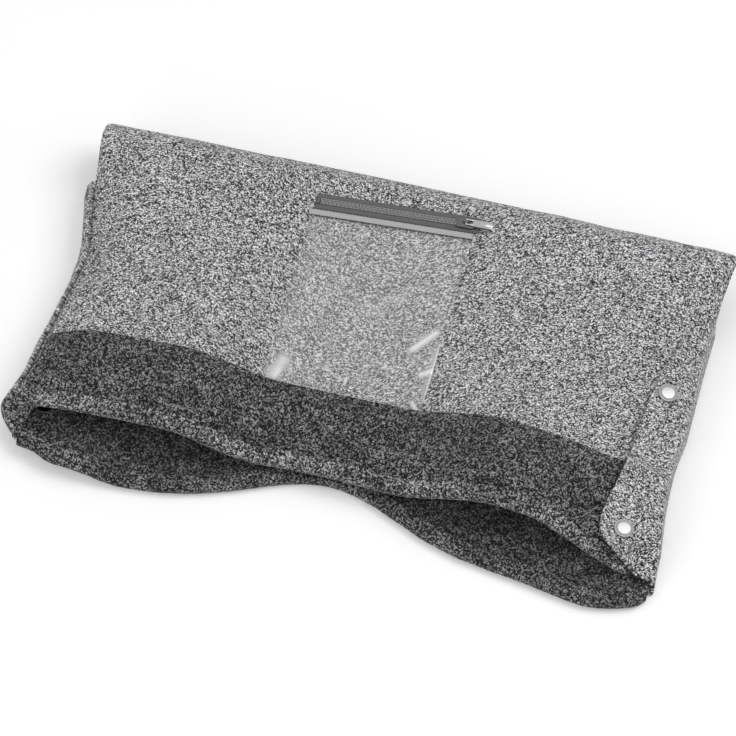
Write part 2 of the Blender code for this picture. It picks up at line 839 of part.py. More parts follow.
def build_centre_studs(shop, layers):
    """The set at the middle of the mouth, which pinches the front panel to the back panel."""
    y = CENTRE_STUD_Y
    top_normal = outer_normal(front_height, PINCH_X, y, 1)
    low_normal = outer_normal(back_height, PINCH_X, y, -1)
    front = stud_frame(Vector((PINCH_X, y, front_height(PINCH_X, y))), top_normal)
    back = stud_frame(Vector((PINCH_X, y, back_height(PINCH_X, y))), low_normal)
    front_face = FRONT_CENTRE + CENTRE_SEAT
    back_face = BACK_CENTRE + CENTRE_SEAT

    cap = cap_bmesh(GAP + 0.0003, -front_face - 0.0005)
    shop.add("centre_cap", cap, shop.cap, front)
    flipped = Matrix.Rotation(math.pi, 4, "X")
    socket = socket_bmesh(-front_face)
    shop.add("centre_socket", socket, shop.cap, front)
    stud = stud_bmesh(back_face)
    shop.add("centre_stud", stud, shop.cap, back @ flipped)
    ring = ring_bmesh(CENTRE_SEAT, back_face + 0.0009)
    shop.add("centre_ring", ring, shop.cap, back @ flipped)

    rods = (
        ("centre_front_hole", front, -FRONT_CENTRE - 0.0012, 0.0012),
        ("centre_back_hole", back, -BACK_CENTRE - 0.0012, 0.0012),
    )
    for name, frame, low, high in rods:
        cutter = shop.add_cutter(name, rod_bmesh(HOLE_RADIUS, low, high), frame)
        for obj in layers:
            cut(obj, cutter)


# Phone pocket
def build_window(shop):
    """The clear sheet, from under the hem strip down to its seam under the cuff."""
    columns = [x for x in sheet_columns() if POCKET_LEFT - 1e-6 <= x <= POCKET_RIGHT + 1e-6]
    columns[0] += 0.001
    columns[-1] -= 0.001
    top = ZIP_Y - ZIP_HALF_TAPE - HEM_WIDTH + 0.0010
    slant = math.tan(ZIP_SKEW)
    lowest_top = top + slant * (POCKET_LEFT - POCKET_CENTRE)
    ys = [POCKET_FOOT]
    ys += [y for y in FRONT_ROWS[::-1] if POCKET_FOOT < y < lowest_top - 0.004] + [top]
    rows = []
    for place in ys:
        row = []
        for x in columns:
            y = place + (slant * (x - POCKET_CENTRE) if place == top else 0.0)
            normal = outer_normal(front_height, x, y, 1)
            point = Vector((x, y, front_height(x, y)))
            row.append(point + normal * (WINDOW_LIFT + WINDOW))
        rows.append(row)
    obj = shop.add("pocket_window", grid_bmesh(rows), shop.window)
    solidify(obj, WINDOW)
    return obj


def zip_frame():
    """A frame on the front panel's plane at the zip: X along the zip, Y up the panel, Z out of it."""
    middle = Matrix.Translation((POCKET_CENTRE, ZIP_Y, front_plane(ZIP_Y)))
    turn = Matrix.Rotation(PANEL_TILT, 4, "X") @ Matrix.Rotation(ZIP_SKEW, 4, "Z")
    return middle @ turn @ Matrix.Translation((-POCKET_CENTRE, 0, 0))


def comb_outline(left, right, side, shift):
    """A row of teeth seen from above: a spine with teeth that cross the middle of the zip."""
    spine = (0.0023 * side, 0.0016 * side)
    tip = -0.0011 * side
    width = TEETH_PITCH / 2 - GAP
    outline = [(right, spine[1]), (right, spine[0]), (left, spine[0]), (left, spine[1])]
    count = int((right - left - 2 * shift - width) / TEETH_PITCH) + 1
    for tooth in range(count):
        start = left + shift + tooth * TEETH_PITCH
        end = start + width
        outline += [(start, spine[1]), (start + 0.0002, tip), (end - 0.0002, tip), (end, spine[1])]
    return outline


def build_zip_tapes(shop, frame):
    left = POCKET_LEFT + 0.002
    right = POCKET_RIGHT + 0.002
    near = 0.0026
    far = ZIP_HALF_TAPE
    low = 0.0014
    upper = box_bmesh((left, near, low), (right, far, low + 0.0005))
    shop.add("zip_tape_upper", upper, shop.tape, frame)
    lower = box_bmesh((left, -far, low), (right, -near, low + 0.0005))
    shop.add("zip_tape_lower", lower, shop.tape, frame)
    hem = box_bmesh((left - 0.0015, -far - GAP - HEM_WIDTH, 0.0013), (right - 0.0015, -far - GAP, 0.0021))
    obj = shop.add("window_hem", hem, shop.hem, frame)
    soften_edges(obj, 0.00025)


def build_zip_teeth(shop, frame):
    """Two combs that mesh with each other without touching, and the stops at their ends."""
    left = POCKET_LEFT + 0.005
    right = POCKET_RIGHT - 0.0015
    low = 0.0013
    high = low + TEETH_THICKNESS
    for name, side, shift in (("upper", 1, 0.0004), ("lower", -1, 0.0004 + TEETH_PITCH / 2)):
        outline = comb_outline(left, right, side, shift)
        shop.add("zip_teeth_" + name, prism_bmesh(outline, low, high), shop.teeth, frame)
        ends = sorted((0.0004 * side, 0.0022 * side))
        stop = box_bmesh((right + GAP, ends[0], low), (right + 0.0022, ends[1], high))
        obj = shop.add("zip_stop_" + name, stop, shop.slider, frame)
        soften_edges(obj, 0.0002)
    staple = box_bmesh((left - 0.0024, -0.0023, low - 0.0001), (left - GAP, 0.0023, high + 0.0001))
    obj = shop.add("zip_bottom_stop", staple, shop.slider, frame)
    soften_edges(obj, 0.0002)


def slider_outline(tail, nose):
    """The slider's plate seen from above: wide where the teeth part and narrow at its tail."""
    return [
        (tail, -0.0033),
        (tail + 0.0005, -0.0038),
        (nose - 0.0045, -0.0044),
        (nose - 0.0010, -0.0044),
        (nose, -0.0034),
        (nose, 0.0034),
        (nose - 0.0010, 0.0044),
        (nose - 0.0045, 0.0044),
        (tail + 0.0005, 0.0038),
        (tail, 0.0033),
    ]


def build_slider(shop, frame):
    """The slider straddles the teeth. Its bridge holds the pull's bar."""
    nose = POCKET_RIGHT - 0.0022
    tail = nose - SLIDER_LENGTH
    plate = 0.0032
    top = plate + 0.0010
    middle = nose - 0.0060
    origin = frame @ Matrix.Translation((middle, 0, 0))
    outline = [(x - middle, y) for x, y in slider_outline(tail, nose)]
    obj = shop.add("zip_slider", prism_bmesh(outline, 0.0022, top), shop.slider, origin)
    channel = box_bmesh((tail - middle - 0.001, -0.0030, 0.0), (nose - middle + 0.001, 0.0030, plate))
    cut(obj, shop.add_cutter("slider_channel", channel, origin))
    bridge = box_bmesh((-0.0030, -0.0009, top - 0.0004), (0.0030, 0.0009, top + 0.0031))
    bridge_obj = shop.add_cutter("slider_bridge", bridge, origin)
    join = obj.modifiers.new("Bridge", "BOOLEAN")
    join.operation = "UNION"
    join.solver = "EXACT"
    join.object = bridge_obj
    window = box_bmesh((-0.0019, -0.002, top + 0.0001), (0.0019, 0.002, top + 0.0023))
    cut(obj, shop.add_cutter("slider_eye", window, origin))
    soften_edges(obj, 0.00015)

    base_outline = [(x * 0.96, y * 0.84) for x, y in outline]
    base = shop.add("slider_base", prism_bmesh(base_outline, 0.0003, 0.0010), shop.slider, origin)
    soften_edges(base, 0.00012)
    return origin, top


def build_pull(shop, origin, top):
    """The pull tab, with its bar inside the slider's bridge. It swings on the bar."""
    pivot = origin @ Matrix.Translation((0, 0, top + 0.0012)) @ Matrix.Rotation(-PULL_REST, 4, "Y")
    end = PULL_LENGTH
    outline = [
        (-0.0005, -0.0026),
        (end - 0.0015, -0.0030),
        (end, -0.0018),
        (end, 0.0018),
        (end - 0.0015, 0.0030),
        (-0.0005, 0.0026),
    ]
    obj = shop.add("zip_pull", prism_bmesh(outline, -0.0005, 0.0005), shop.slider, pivot)
    slot = box_bmesh((0.0005, -0.0014, -0.002), (0.0052, 0.0014, 0.002))
    cut(obj, shop.add_cutter("pull_slot", slot, pivot))
    soften_edges(obj, 0.0002)


def build_pocket(shop):
    frame = zip_frame()
    build_window(shop)
    build_zip_tapes(shop, frame)
    build_zip_teeth(shop, frame)
    origin, top = build_slider(shop, frame)
    build_pull(shop, origin, top)


def build_muff():
    clear_scene()
    shop = Workshop()
    sheet = Sheet()
    layers = [build_felt(shop, sheet), build_wadding(shop, sheet), build_lining(shop, sheet)]
    build_binding(shop, sheet, "front_rim_binding", -1)
    build_binding(shop, sheet, "back_rim_binding", 0)
    cuff = build_cuff(shop)
    flaps = {1: build_right_flap(shop), -1: build_left_flap(shop)}
    for side, flap in flaps.items():
        for number, from_top in enumerate(STUDS_FROM_TOP):
            through = layers + ([cuff] if side > 0 and number == 1 else [])
            build_side_studs(shop, through, flap, side, FLAP_TOPS[side] - from_top, number)
    build_centre_studs(shop, layers)
    build_pocket(shop)


build_muff()
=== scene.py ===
"""Looks of a hand muff for a pushchair handlebar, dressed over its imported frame. Metres, +Z up.

X runs along the handlebar, the fold is towards +Y and the mouth towards -Y.
Each layer of the folded fabric is a closed shell over one shared form, so that felt, padding and plush
follow the same lobes, pinch and curled sides.
"""

import logging
import math
from collections.abc import Callable, Sequence
from dataclasses import dataclass
from enum import Enum
from functools import cached_property

import bmesh
import bpy
import numpy as np
from mathutils import Matrix, Vector, noise


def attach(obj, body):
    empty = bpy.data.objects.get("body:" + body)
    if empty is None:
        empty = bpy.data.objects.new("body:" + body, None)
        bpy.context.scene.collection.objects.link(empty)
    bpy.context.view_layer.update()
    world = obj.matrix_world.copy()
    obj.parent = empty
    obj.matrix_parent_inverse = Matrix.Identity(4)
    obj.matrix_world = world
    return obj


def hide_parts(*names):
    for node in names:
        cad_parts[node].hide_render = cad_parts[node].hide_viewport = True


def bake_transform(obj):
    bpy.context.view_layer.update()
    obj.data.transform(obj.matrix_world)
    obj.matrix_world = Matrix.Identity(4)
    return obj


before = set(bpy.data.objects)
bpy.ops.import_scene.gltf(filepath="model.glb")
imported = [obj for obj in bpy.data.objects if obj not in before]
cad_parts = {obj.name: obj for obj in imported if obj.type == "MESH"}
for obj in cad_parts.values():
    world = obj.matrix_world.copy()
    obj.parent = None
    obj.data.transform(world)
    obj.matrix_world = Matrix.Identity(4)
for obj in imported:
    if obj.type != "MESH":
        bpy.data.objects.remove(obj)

LOG = logging.getLogger("hand_muff")

Array = np.ndarray
Mesh = bmesh.types.BMesh
Node = bpy.types.Node
Socket = bpy.types.NodeSocket
Material = bpy.types.Material
Table = Sequence[tuple[float, ...]]


class Side(Enum):
    """The two sides of the muff, with the sign of X on each."""

    RIGHT = 1
    LEFT = -1


class Rim(Enum):
    """The two rims of the mouth."""

    FRONT = "front"
    BACK = "back"


class Slot(Enum):
    """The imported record's material slots."""

    FELT = "melange_felt"
    PLUSH = "dark_plush"
    WADDING = "white_wadding"
    VINYL = "clear_vinyl"
    HEM = "pale_hem"
    TAPE = "zip_tape"
    PLASTIC = "zip_plastic"
    SLIDER = "slider_metal"
    STUD = "stud_metal"


# Numbers over a surface


def ease(t: Array | float) -> Array | float:
    """Eases from 0 to 1 over a share of the way, and stays level outside."""
    t = np.clip(t, 0.0, 1.0)
    return t * t * (3.0 - 2.0 * t)


def hump(t: Array | float) -> Array | float:
    """A smooth hump of height 1 at 0, which fades within about 2 on either side."""
    return np.exp(-(t**2))


def soft_noise(places: Array, size: float, seed: float = 0.0) -> Array:
    """Smooth noise at points in space.

    Args:
        places: Points, with three numbers along the last axis.
        size: Distance in metres over which the noise changes.
        seed: Moves the pattern, so that two uses differ.

    Returns:
        Values from about -1 to 1, one for each point.
    """
    flat = places.reshape(-1, 3) / size + seed
    values = [noise.noise(Vector(point)) for point in flat]
    return np.array(values).reshape(places.shape[:-1])


def outward_normals(places: Array) -> Array:
    """Unit normals of a grid of points, on the side where rows crossed with columns points."""
    normals = np.cross(np.gradient(places, axis=0), np.gradient(places, axis=1))
    return normals / np.linalg.norm(normals, axis=2, keepdims=True)


def run_length(places: Array, axis: int = 0) -> Array:
    """Distance travelled along one axis of a grid of points, from 0.

    Args:
        places: Points, with their coordinates along the last axis.
        axis: The axis to travel along.

    Returns:
        One distance for each point.
    """
    steps = np.linalg.norm(np.diff(places, axis=axis), axis=-1)
    start = np.zeros_like(np.take(steps, [0], axis=axis))
    return np.concatenate([start, np.cumsum(steps, axis=axis)], axis=axis)


def sampled(line: Array, length: Array, goals: Array) -> Array:
    """Points of a line where its length reaches each goal."""
    return np.stack([np.interp(goals, length, column) for column in line.T], axis=1)


def read_off(table: Table, place: Array | float) -> Array:
    """Reads a table of (place, value) pairs, straight between them."""
    return np.interp(place, *np.array(table).T)


def even_ease(count: int) -> Array:
    """Shares from 0 to 1 that lie closer together towards both ends."""
    return 0.5 - 0.5 * np.cos(np.linspace(0.0, math.pi, count))


@dataclass(frozen=True)
class Crease:
    """A soft valley pressed into fabric along a line, in plan."""

    start: tuple[float, float]
    end: tuple[float, float]
    depth: float
    width: float

    def at(self, x: Array, y: Array) -> Array:
        """Depth of the valley at places in plan.

        Args:
            x: X of each place.
            y: Y of each place.

        Returns:
            How far the surface sinks there, in metres.
        """
        run_x = self.end[0] - self.start[0]
        run_y = self.end[1] - self.start[1]
        length = math.hypot(run_x, run_y)
        along = ((x - self.start[0]) * run_x + (y - self.start[1]) * run_y) / length**2
        beside = ((x - self.start[0]) * run_y - (y - self.start[1]) * run_x) / length
        ends = ease(along / 0.25 + 0.5) * ease((1.0 - along) / 0.25 + 0.5)
        return self.depth * hump(beside / self.width) * ends


# The folded form


@dataclass(frozen=True)
class MuffForm:
    """Sizes of the folded body and the heights of its two panels, as in the part's source."""

    width: float = 0.492
    depth: float = 0.322
    fold_height: float = 0.050
    tilt: float = math.radians(6.8)
    front_setback: float = 0.0420
    lobe_setback: float = 0.0060
    lobe_reach: float = 0.0065
    skew: float = 0.0070
    corner_reach: float = 0.018
    notch_depth: float = 0.043
    notch_width: float = 0.080
    notch_shift: float = 0.008
    left_corner: float = 0.016
    right_corner: float = 0.012
    lobe_rise: float = 0.023
    left_fall: float = 0.004
    right_fall: float = 0.018
    ramp_from_fold: float = 0.0395
    fold_crown: float = 0.003
    edge_height: float = 0.030
    edge_fall: float = 0.014
    curl_width: float = 0.050
    felt: float = 0.0020
    wadding: float = 0.0034
    wadding_edge: float = 0.0006
    plush: float = 0.0026
    gap: float = 0.0003
    side_inset: float = 0.005
    rim_inset: float = 0.009
    taper: float = 0.025
    binding: float = 0.0018
    binding_leg: float = 0.008
    cuff_height: float = 0.061
    cuff_drop: float = 0.008
    cuff_lift: float = 0.0026
    cuff: float = 0.0032
    cuff_edge_lift: float = 0.0014
    flap: float = 0.0022
    flap_standoff: float = 0.0047
    flap_bulge: float = 0.007
    cap_seat: float = 0.0005
    cap_height: float = 0.0017
    pinch_x: float = -0.011
    pinch_lift: float = 0.0024
    pinch_width: float = 0.034
    centre_stud_in: float = 0.020
    centre_stack: float = 0.0055

    @property
    def half_width(self) -> float:
        """Half of the body's width."""
        return self.width / 2

    @property
    def fold_radius(self) -> float:
        """Radius of the fold round the handlebar."""
        return self.fold_height / 2

    @property
    def fold_y(self) -> float:
        """Y where the fold starts."""
        return self.depth / 2 - self.fold_radius - self.fold_crown

    @property
    def curl_start(self) -> float:
        """Distance from the middle where the sides start to curl."""
        return self.half_width - self.curl_width

    @property
    def sheet_edge(self) -> float:
        """Thickness of the fabric at a seam, where the padding ends."""
        return self.felt + self.gap + self.plush

    @property
    def clear(self) -> float:
        """Room between a band of plush and the cloth that it wraps."""
        return self.gap + 0.0001

    @property
    def roll(self) -> float:
        """How far a rim's rolled edge reaches past the felt."""
        return self.sheet_edge / 2 + self.clear + self.binding

    @property
    def left_lift(self) -> float:
        """How high the back panel lies over the left flap."""
        return self.flap_standoff + self.flap + self.cap_seat + self.cap_height + 0.0002

    def from_pinch(self, x: Array) -> Array:
        """Distance from the pinched middle, stretched so that either side edge is half the width away.

        Args:
            x: X of each place.

        Returns:
            The distances.
        """
        half = self.half_width
        right = (x - self.pinch_x) * half / (half - self.pinch_x)
        left = (self.pinch_x - x) * half / (half + self.pinch_x)
        return np.where(x > self.pinch_x, right, left)

    def plain_rim(self, x: Array) -> Array:
        """Y of a straight rim, which on the left lies nearer to the fold by the skew."""
        return -self.depth / 2 + self.roll + self.skew * (0.5 - x / self.width)

    def rim(self, which: Rim, x: Array) -> Array:
        """Y of a panel's rim: two lobes and a notch at the back, and the front a little inside them.

        Args:
            which: The front or the back panel.
            x: X of each place.

        Returns:
            Y of the rim there.
        """
        if which is Rim.FRONT:
            reach = self.lobe_reach * ease(self.from_pinch(x) / 0.110)
            corner = self.corner_reach * ease((x - self.half_width + 0.100) / 0.090)
            return self.plain_rim(x) + self.front_setback + self.lobe_reach - reach - corner
        notch = self.notch_depth * hump((x - self.pinch_x - self.notch_shift) / self.notch_width)
        corner = np.where(x > 0, self.right_corner, self.left_corner)
        rounded = corner * ease((np.abs(x) - self.half_width + 0.040) / 0.040)
        setback = self.lobe_setback * (1 - ease((x - self.half_width + 0.126) / 0.090))
        return self.plain_rim(x) + setback + notch + rounded

    def cuff_top(self, x: Array) -> Array:
        """Y of the cuff's upper edge.

        Args:
            x: X of each place.

        Returns:
            Y of the edge there.
        """
        right_drop = self.cuff_drop * ease((x - self.half_width + 0.196) / 0.190)
        left_drop = self.cuff_drop * 0.6 * ease((-x - self.half_width + 0.060) / 0.060)
        return self.rim(Rim.FRONT, self.pinch_x) + self.cuff_height - right_drop - left_drop

    def padding(self, from_side: Array, from_rim: Array) -> Array:
        """Thickness of the wadding, which thins towards every seam."""
        inside = np.minimum(from_side - self.side_inset, from_rim - self.rim_inset)
        return self.wadding_edge + (self.wadding - self.wadding_edge) * ease(inside / self.taper)

    def sandwich(self, which: Rim, x: float, y: float) -> float:
        """Thickness of a panel's whole fabric at a place."""
        from_rim = y - float(self.rim(which, x))
        return self.sheet_edge + self.gap + float(self.padding(self.half_width - abs(x), from_rim))

    def front_plane(self, y: Array) -> Array:
        """The front panel's plane, which leaves the fold without a kink and falls to the mouth.

        Args:
            y: Y of each place.

        Returns:
            The heights.
        """
        end_y = self.fold_y + self.fold_radius * math.sin(self.tilt)
        end_z = self.fold_radius + self.fold_radius * math.cos(self.tilt)
        return end_z - (end_y - y) * math.tan(self.tilt)

    @cached_property
    def centre_stud_y(self) -> float:
        """Y of the press stud that pinches the mouth."""
        return float(self.rim(Rim.FRONT, self.pinch_x)) + self.centre_stud_in

    def centre_fabric(self, which: Rim) -> float:
        """Thickness of a panel at the middle stud."""
        return self.sandwich(which, self.pinch_x, self.centre_stud_y)

    @cached_property
    def pinch_drop(self) -> float:
        """How far the middle stud pulls the front panel down."""
        fabric = [self.centre_fabric(which) for which in Rim]
        return float(self.front_plane(self.centre_stud_y)) - self.pinch_lift - self.centre_stack - sum(fabric)

    def pinch_share(self, x: Array) -> Array:
        """How much of the pinch reaches a place, 1 in the middle."""
        return hump((x - self.pinch_x) / self.pinch_width)

    def front_height(self, x: Array, y: Array) -> Array:
        """Height of the front panel's outer face: gaping lobes, a pinched middle and curled sides.

        Args:
            x: X of each place.
            y: Y of each place.

        Returns:
            The heights.
        """
        across = np.abs(x)
        ramp_top = self.fold_y - self.ramp_from_fold
        to_rim = ease((ramp_top - y) / (ramp_top - self.rim(Rim.FRONT, x)))
        lobes = self.lobe_rise * ease((self.from_pinch(x) - 0.045) / 0.080)
        fall = np.where(x > 0, self.right_fall, self.left_fall)
        lobes = lobes - fall * ease((across - self.half_width + 0.123) / 0.110)
        pinch = self.pinch_drop * self.pinch_share(x) * ease((self.centre_stud_y + 0.045 - y) / 0.045)
        z = self.front_plane(y) + lobes * to_rim - pinch
        edge = self.edge_height - np.where(x > 0, self.edge_fall * to_rim, 0.0)
        curl = np.maximum(0.0, (across - self.curl_start) / self.curl_width) ** 2
        return z + (edge - z) * curl * ease((self.fold_y + 0.002 - y) / 0.035)

    def back_height(self, x: Array, y: Array) -> Array:
        """Height of the back panel's outer face: flat, but lifted over the left flap, the pinch and the rim.

        Args:
            x: X of each place.
            y: Y of each place.

        Returns:
            The heights.
        """
        from_fold = ease((self.fold_y - y) / 0.033)
        left = ease((-x - self.half_width + 0.096) / 0.048) * from_fold
        curl = np.maximum(0.0, (x - self.curl_start) / self.curl_width) ** 2
        right = 0.001 * curl * from_fold
        pinch = self.pinch_lift * self.pinch_share(x) * ease((self.centre_stud_y + 0.020 - y) / 0.024)
        rim = (self.gap + self.binding + 0.0004) * ease((self.rim(Rim.BACK, x) + 0.028 - y) / 0.018)
        return self.left_lift * left + np.maximum(np.maximum(right, pinch), rim * (1 - left))

    def height(self, which: Rim, x: Array, y: Array) -> Array:
        """Height of either panel's outer face."""
        return self.front_height(x, y) if which is Rim.FRONT else self.back_height(x, y)

    def face(self, which: Rim, x: Array, y: Array) -> tuple[Array, Array]:
        """A panel's outer face.

        Args:
            which: The front or the back panel.
            x: X of each place.
            y: Y of each place.

        Returns:
            Points and outward unit normals, with three numbers along a new last axis.
        """
        step = 0.0005
        slope_x = (self.height(which, x + step, y) - self.height(which, x - step, y)) / (2 * step)
        slope_y = (self.height(which, x, y + step) - self.height(which, x, y - step)) / (2 * step)
        up = 1.0 if which is Rim.FRONT else -1.0
        normals = np.stack([-slope_x, -slope_y, np.ones_like(slope_x)], axis=-1) * up
        points = np.stack([x, y, self.height(which, x, y)], axis=-1)
        return points, normals / np.linalg.norm(normals, axis=-1, keepdims=True)

    def cuff_rise(self, from_seam: Array, from_top: Array) -> tuple[Array, Array]:
        """Heights of the cuff's inner and outer faces over the felt.

        Args:
            from_seam: Distance from the seam at the rim.
            from_top: Distance from the cuff's upper edge.

        Returns:
            The two heights.
        """
        at_seam = ease(from_seam / 0.006)
        at_top = 1 - ease(from_top / 0.010)
        rise = (self.cuff_lift - self.clear) * at_seam
        inner = self.clear + rise - (self.cuff_lift - self.cuff_edge_lift) * at_top
        thickness = self.binding + (self.cuff - self.binding) * at_seam - 0.0006 * at_top
        return inner, inner + thickness

    def cuff_cover(self, x: Array, y: Array) -> Array:
        """How far the cuff lifts what lies over it."""
        return (self.cuff_lift + self.cuff) * ease((self.cuff_top(x) + 0.006 - y) / 0.013)


@dataclass(frozen=True)
class SideDraw:
    """How the sewn sides draw in from straight, read from the photograph at places along Y."""

    form: MuffForm
    left: Table = (
        (-0.125, -0.0055), (-0.105, -0.0040), (-0.082, 0.0016), (-0.051, 0.0046), (-0.035, 0.0072),
        (-0.011, 0.0098), (0.010, 0.0128), (0.030, 0.0148), (0.048, 0.0130), (0.067, 0.0088),
        (0.091, 0.0032), (0.124, 0.0006), (0.136, 0.0),
    )
    right_front: Table = (
        (-0.160, 0.0120), (-0.135, 0.0100), (-0.115, 0.0060), (-0.090, 0.0010), (-0.072, 0.0006),
        (-0.032, 0.0050), (-0.021, 0.0045), (-0.002, 0.0029), (0.062, 0.0035), (0.091, 0.0006),
        (0.112, 0.0), (0.127, -0.0025), (0.140, -0.0035),
    )
    right_back: Table = (
        (-0.150, -0.0056), (-0.125, -0.0036), (-0.109, -0.0030), (-0.090, -0.0004), (-0.072, 0.0022),
        (-0.050, 0.0041), (-0.032, 0.0050), (-0.021, 0.0045), (-0.002, 0.0029), (0.062, 0.0049),
        (0.098, 0.0053), (0.118, 0.0090), (0.160, 0.0090),
    )
    fuller_rim: Table = (
        (-0.245, 0.0040), (-0.2345, 0.0030), (-0.228, -0.0005), (-0.221, -0.0028), (-0.209, -0.0032),
        (-0.190, -0.0018), (-0.165, 0.0), (0.165, 0.0), (0.190, 0.0027), (0.2115, 0.0040),
        (0.2285, 0.0072), (0.240, 0.0066), (0.248, 0.0040), (0.255, 0.0),
    )
    left_tuck: float = 0.0085
    left_fade: float = 0.050
    right_fade: float = 0.024
    corner_start: float = 0.2245
    corner_radius: float = 0.0125
    back_corner_start: float = 0.2415
    back_corner_radius: float = 0.0115

    def edge(self, side: Side, y: Array, front: Array) -> Array:
        """How far an edge draws in.

        Args:
            side: The side.
            y: Y of each place.
            front: 1 on the front panel, 0 on the back one, between in the fold.

        Returns:
            The distance, in metres, towards the middle.
        """
        if side is Side.LEFT:
            tuck = self.left_tuck * ease((-0.100 - y) / 0.025) * (1.0 - front)
            return read_off(self.left, y) + tuck
        behind = read_off(self.right_back, y)
        return behind + (read_off(self.right_front, y) - behind) * front

    def fade(self, side: Side, across: Array) -> Array:
        """Share of an edge's movement that reaches a place, by its distance from the middle."""
        width = self.left_fade if side is Side.LEFT else self.right_fade
        return ease((across - self.form.half_width + width) / width)

    def moved(self, places: Array, front: Array | float) -> Array:
        """Places of the straight form after the sides are drawn in and the corners rounded.

        Args:
            places: Points, with three numbers along the last axis.
            front: 1 on the front panel, 0 on the back one, for each place.

        Returns:
            The moved points.
        """
        x, y = places[..., 0], places[..., 1]
        front = np.broadcast_to(front, x.shape)
        moved_x = x.copy()
        for side in Side:
            across = x * side.value
            moved_x -= side.value * self.edge(side, y, front) * self.fade(side, across) * (across > 0)
        corners = (
            (front > 0.9, self.corner_start, self.corner_radius),
            (front < 0.1, self.back_corner_start, self.back_corner_radius),
        )
        moved_y = y - read_off(self.fuller_rim, moved_x) * ease((-0.108 - y) / 0.035) * (front < 0.1)
        for on_panel, start, radius in corners:
            past = np.clip(moved_x - start, 0.0, radius)
            moved_y += (radius - np.sqrt(radius**2 - past**2)) * ease((-0.105 - y) / 0.030) * on_panel
        return np.stack([moved_x, moved_y, places[..., 2]], axis=-1)


# Meshes


def sheet_bmesh(places: Array, coat: Array) -> Mesh:
    """A grid of quads through rows of points, with a UV map in metres.

    Args:
        places: Points by row and column.
        coat: UV of each point, in metres along the cloth.

    Returns:
        The open sheet.
    """
    rows, columns = places.shape[:2]
    bm = bmesh.new()
    surface = bm.loops.layers.uv.new("surface")
    bmesh.ops.create_grid(bm, x_segments=columns - 1, y_segments=rows - 1, size=1.0)
    flat = coat.reshape(-1, 2)
    for vert, place in zip(bm.verts, places.reshape(-1, 3)):
        vert.co = place
    bm.verts.index_update()
    for face in bm.faces:
        for loop in face.loops:
            loop[surface].uv = flat[loop.vert.index]
    return bm


def shell_bmesh(outer: Array, inner: Array, coat: Array, edge: float, segments: int = 2) -> Mesh:
    """A closed shell between two faces of a cloth, with its edges rounded.

    Args:
        outer: Points of the outer face by row and column.
        inner: Points of the inner face, in the same order.
        coat: UV of each point, in metres.
        edge: Width of the rounding, in metres, 0 for none.
        segments: Steps of the rounding.

    Returns:
        The shell, its faces outwards.
    """
    bm = sheet_bmesh(outer, coat)
    number = bm.verts.layers.int.new("place")
    for place, vert in enumerate(bm.verts):
        vert[number] = place
    flat = inner.reshape(-1, 3)
    for vert in raised_verts(bm, bm.faces[:]):
        vert.co = flat[vert[number]]
    bmesh.ops.recalc_face_normals(bm, faces=bm.faces[:])
    if edge > 0.0:
        soften(bm, edge, segments, math.radians(55))
    return bm


def raised_verts(bm: Mesh, faces: list[bmesh.types.BMFace]) -> list[bmesh.types.BMVert]:
    """Extrudes faces, and gives the vertices of their far side."""
    raised = bmesh.ops.extrude_face_region(bm, geom=faces)
    return [item for item in raised["geom"] if isinstance(item, bmesh.types.BMVert)]


def soften(bm: Mesh, width: float, segments: int = 2, angle: float = math.radians(40)) -> None:
    """Bevels every edge sharper than an angle.

    Args:
        bm: The mesh.
        width: Offset of the bevel, in metres.
        segments: Steps across it.
        angle: Least angle between the two faces.
    """
    sharp = [edge for edge in bm.edges if len(edge.link_faces) == 2 and edge.calc_face_angle() > angle]
    bmesh.ops.bevel(
        bm, geom=sharp, offset=width, offset_type="OFFSET", affect="EDGES", segments=segments, profile=0.5,
        clamp_overlap=True, material=-1,
    )


def smooth_line(points: Table, count: int) -> Array:
    """A smooth line past a few points in space.

    Args:
        points: The points, in order.
        count: How many points the line has.

    Returns:
        Its points.
    """
    last = len(points) - 1.0
    line = sampled(np.array(points), np.arange(len(points)), np.linspace(0.0, last, count))
    for _ in range(count // 2):
        line[1:-1] = (line[:-2] + 2 * line[1:-1] + line[2:]) / 4
    return line


def slab_bmesh(low: Sequence[float], high: Sequence[float], edge: float) -> Mesh:
    """A block between two corners, with rounded edges.

    Args:
        low: Lowest corner.
        high: Highest corner.
        edge: Width of the rounding.

    Returns:
        The block.
    """
    bm = bmesh.new()
    bmesh.ops.create_cube(bm, size=1.0)
    bmesh.ops.scale(bm, verts=bm.verts[:], vec=[high[k] - low[k] for k in range(3)])
    bmesh.ops.translate(bm, verts=bm.verts[:], vec=[(high[k] + low[k]) / 2 for k in range(3)])
    soften(bm, edge)
    return bm


def plate_bmesh(outline: Table, low: float, high: float, edge: float) -> Mesh:
    """An outline in X and Y, raised from one height to another, with rounded edges.

    Args:
        outline: Corners, anticlockwise from above.
        low: Height of the underside.
        high: Height of the top.
        edge: Width of the rounding.

    Returns:
        The plate.
    """
    bm = bmesh.new()
    face = bm.faces.new([bm.verts.new((x, y, low)) for x, y in outline])
    bmesh.ops.translate(bm, verts=raised_verts(bm, [face]), vec=(0.0, 0.0, high - low))
    bmesh.ops.recalc_face_normals(bm, faces=bm.faces[:])
    soften(bm, edge)
    return bm


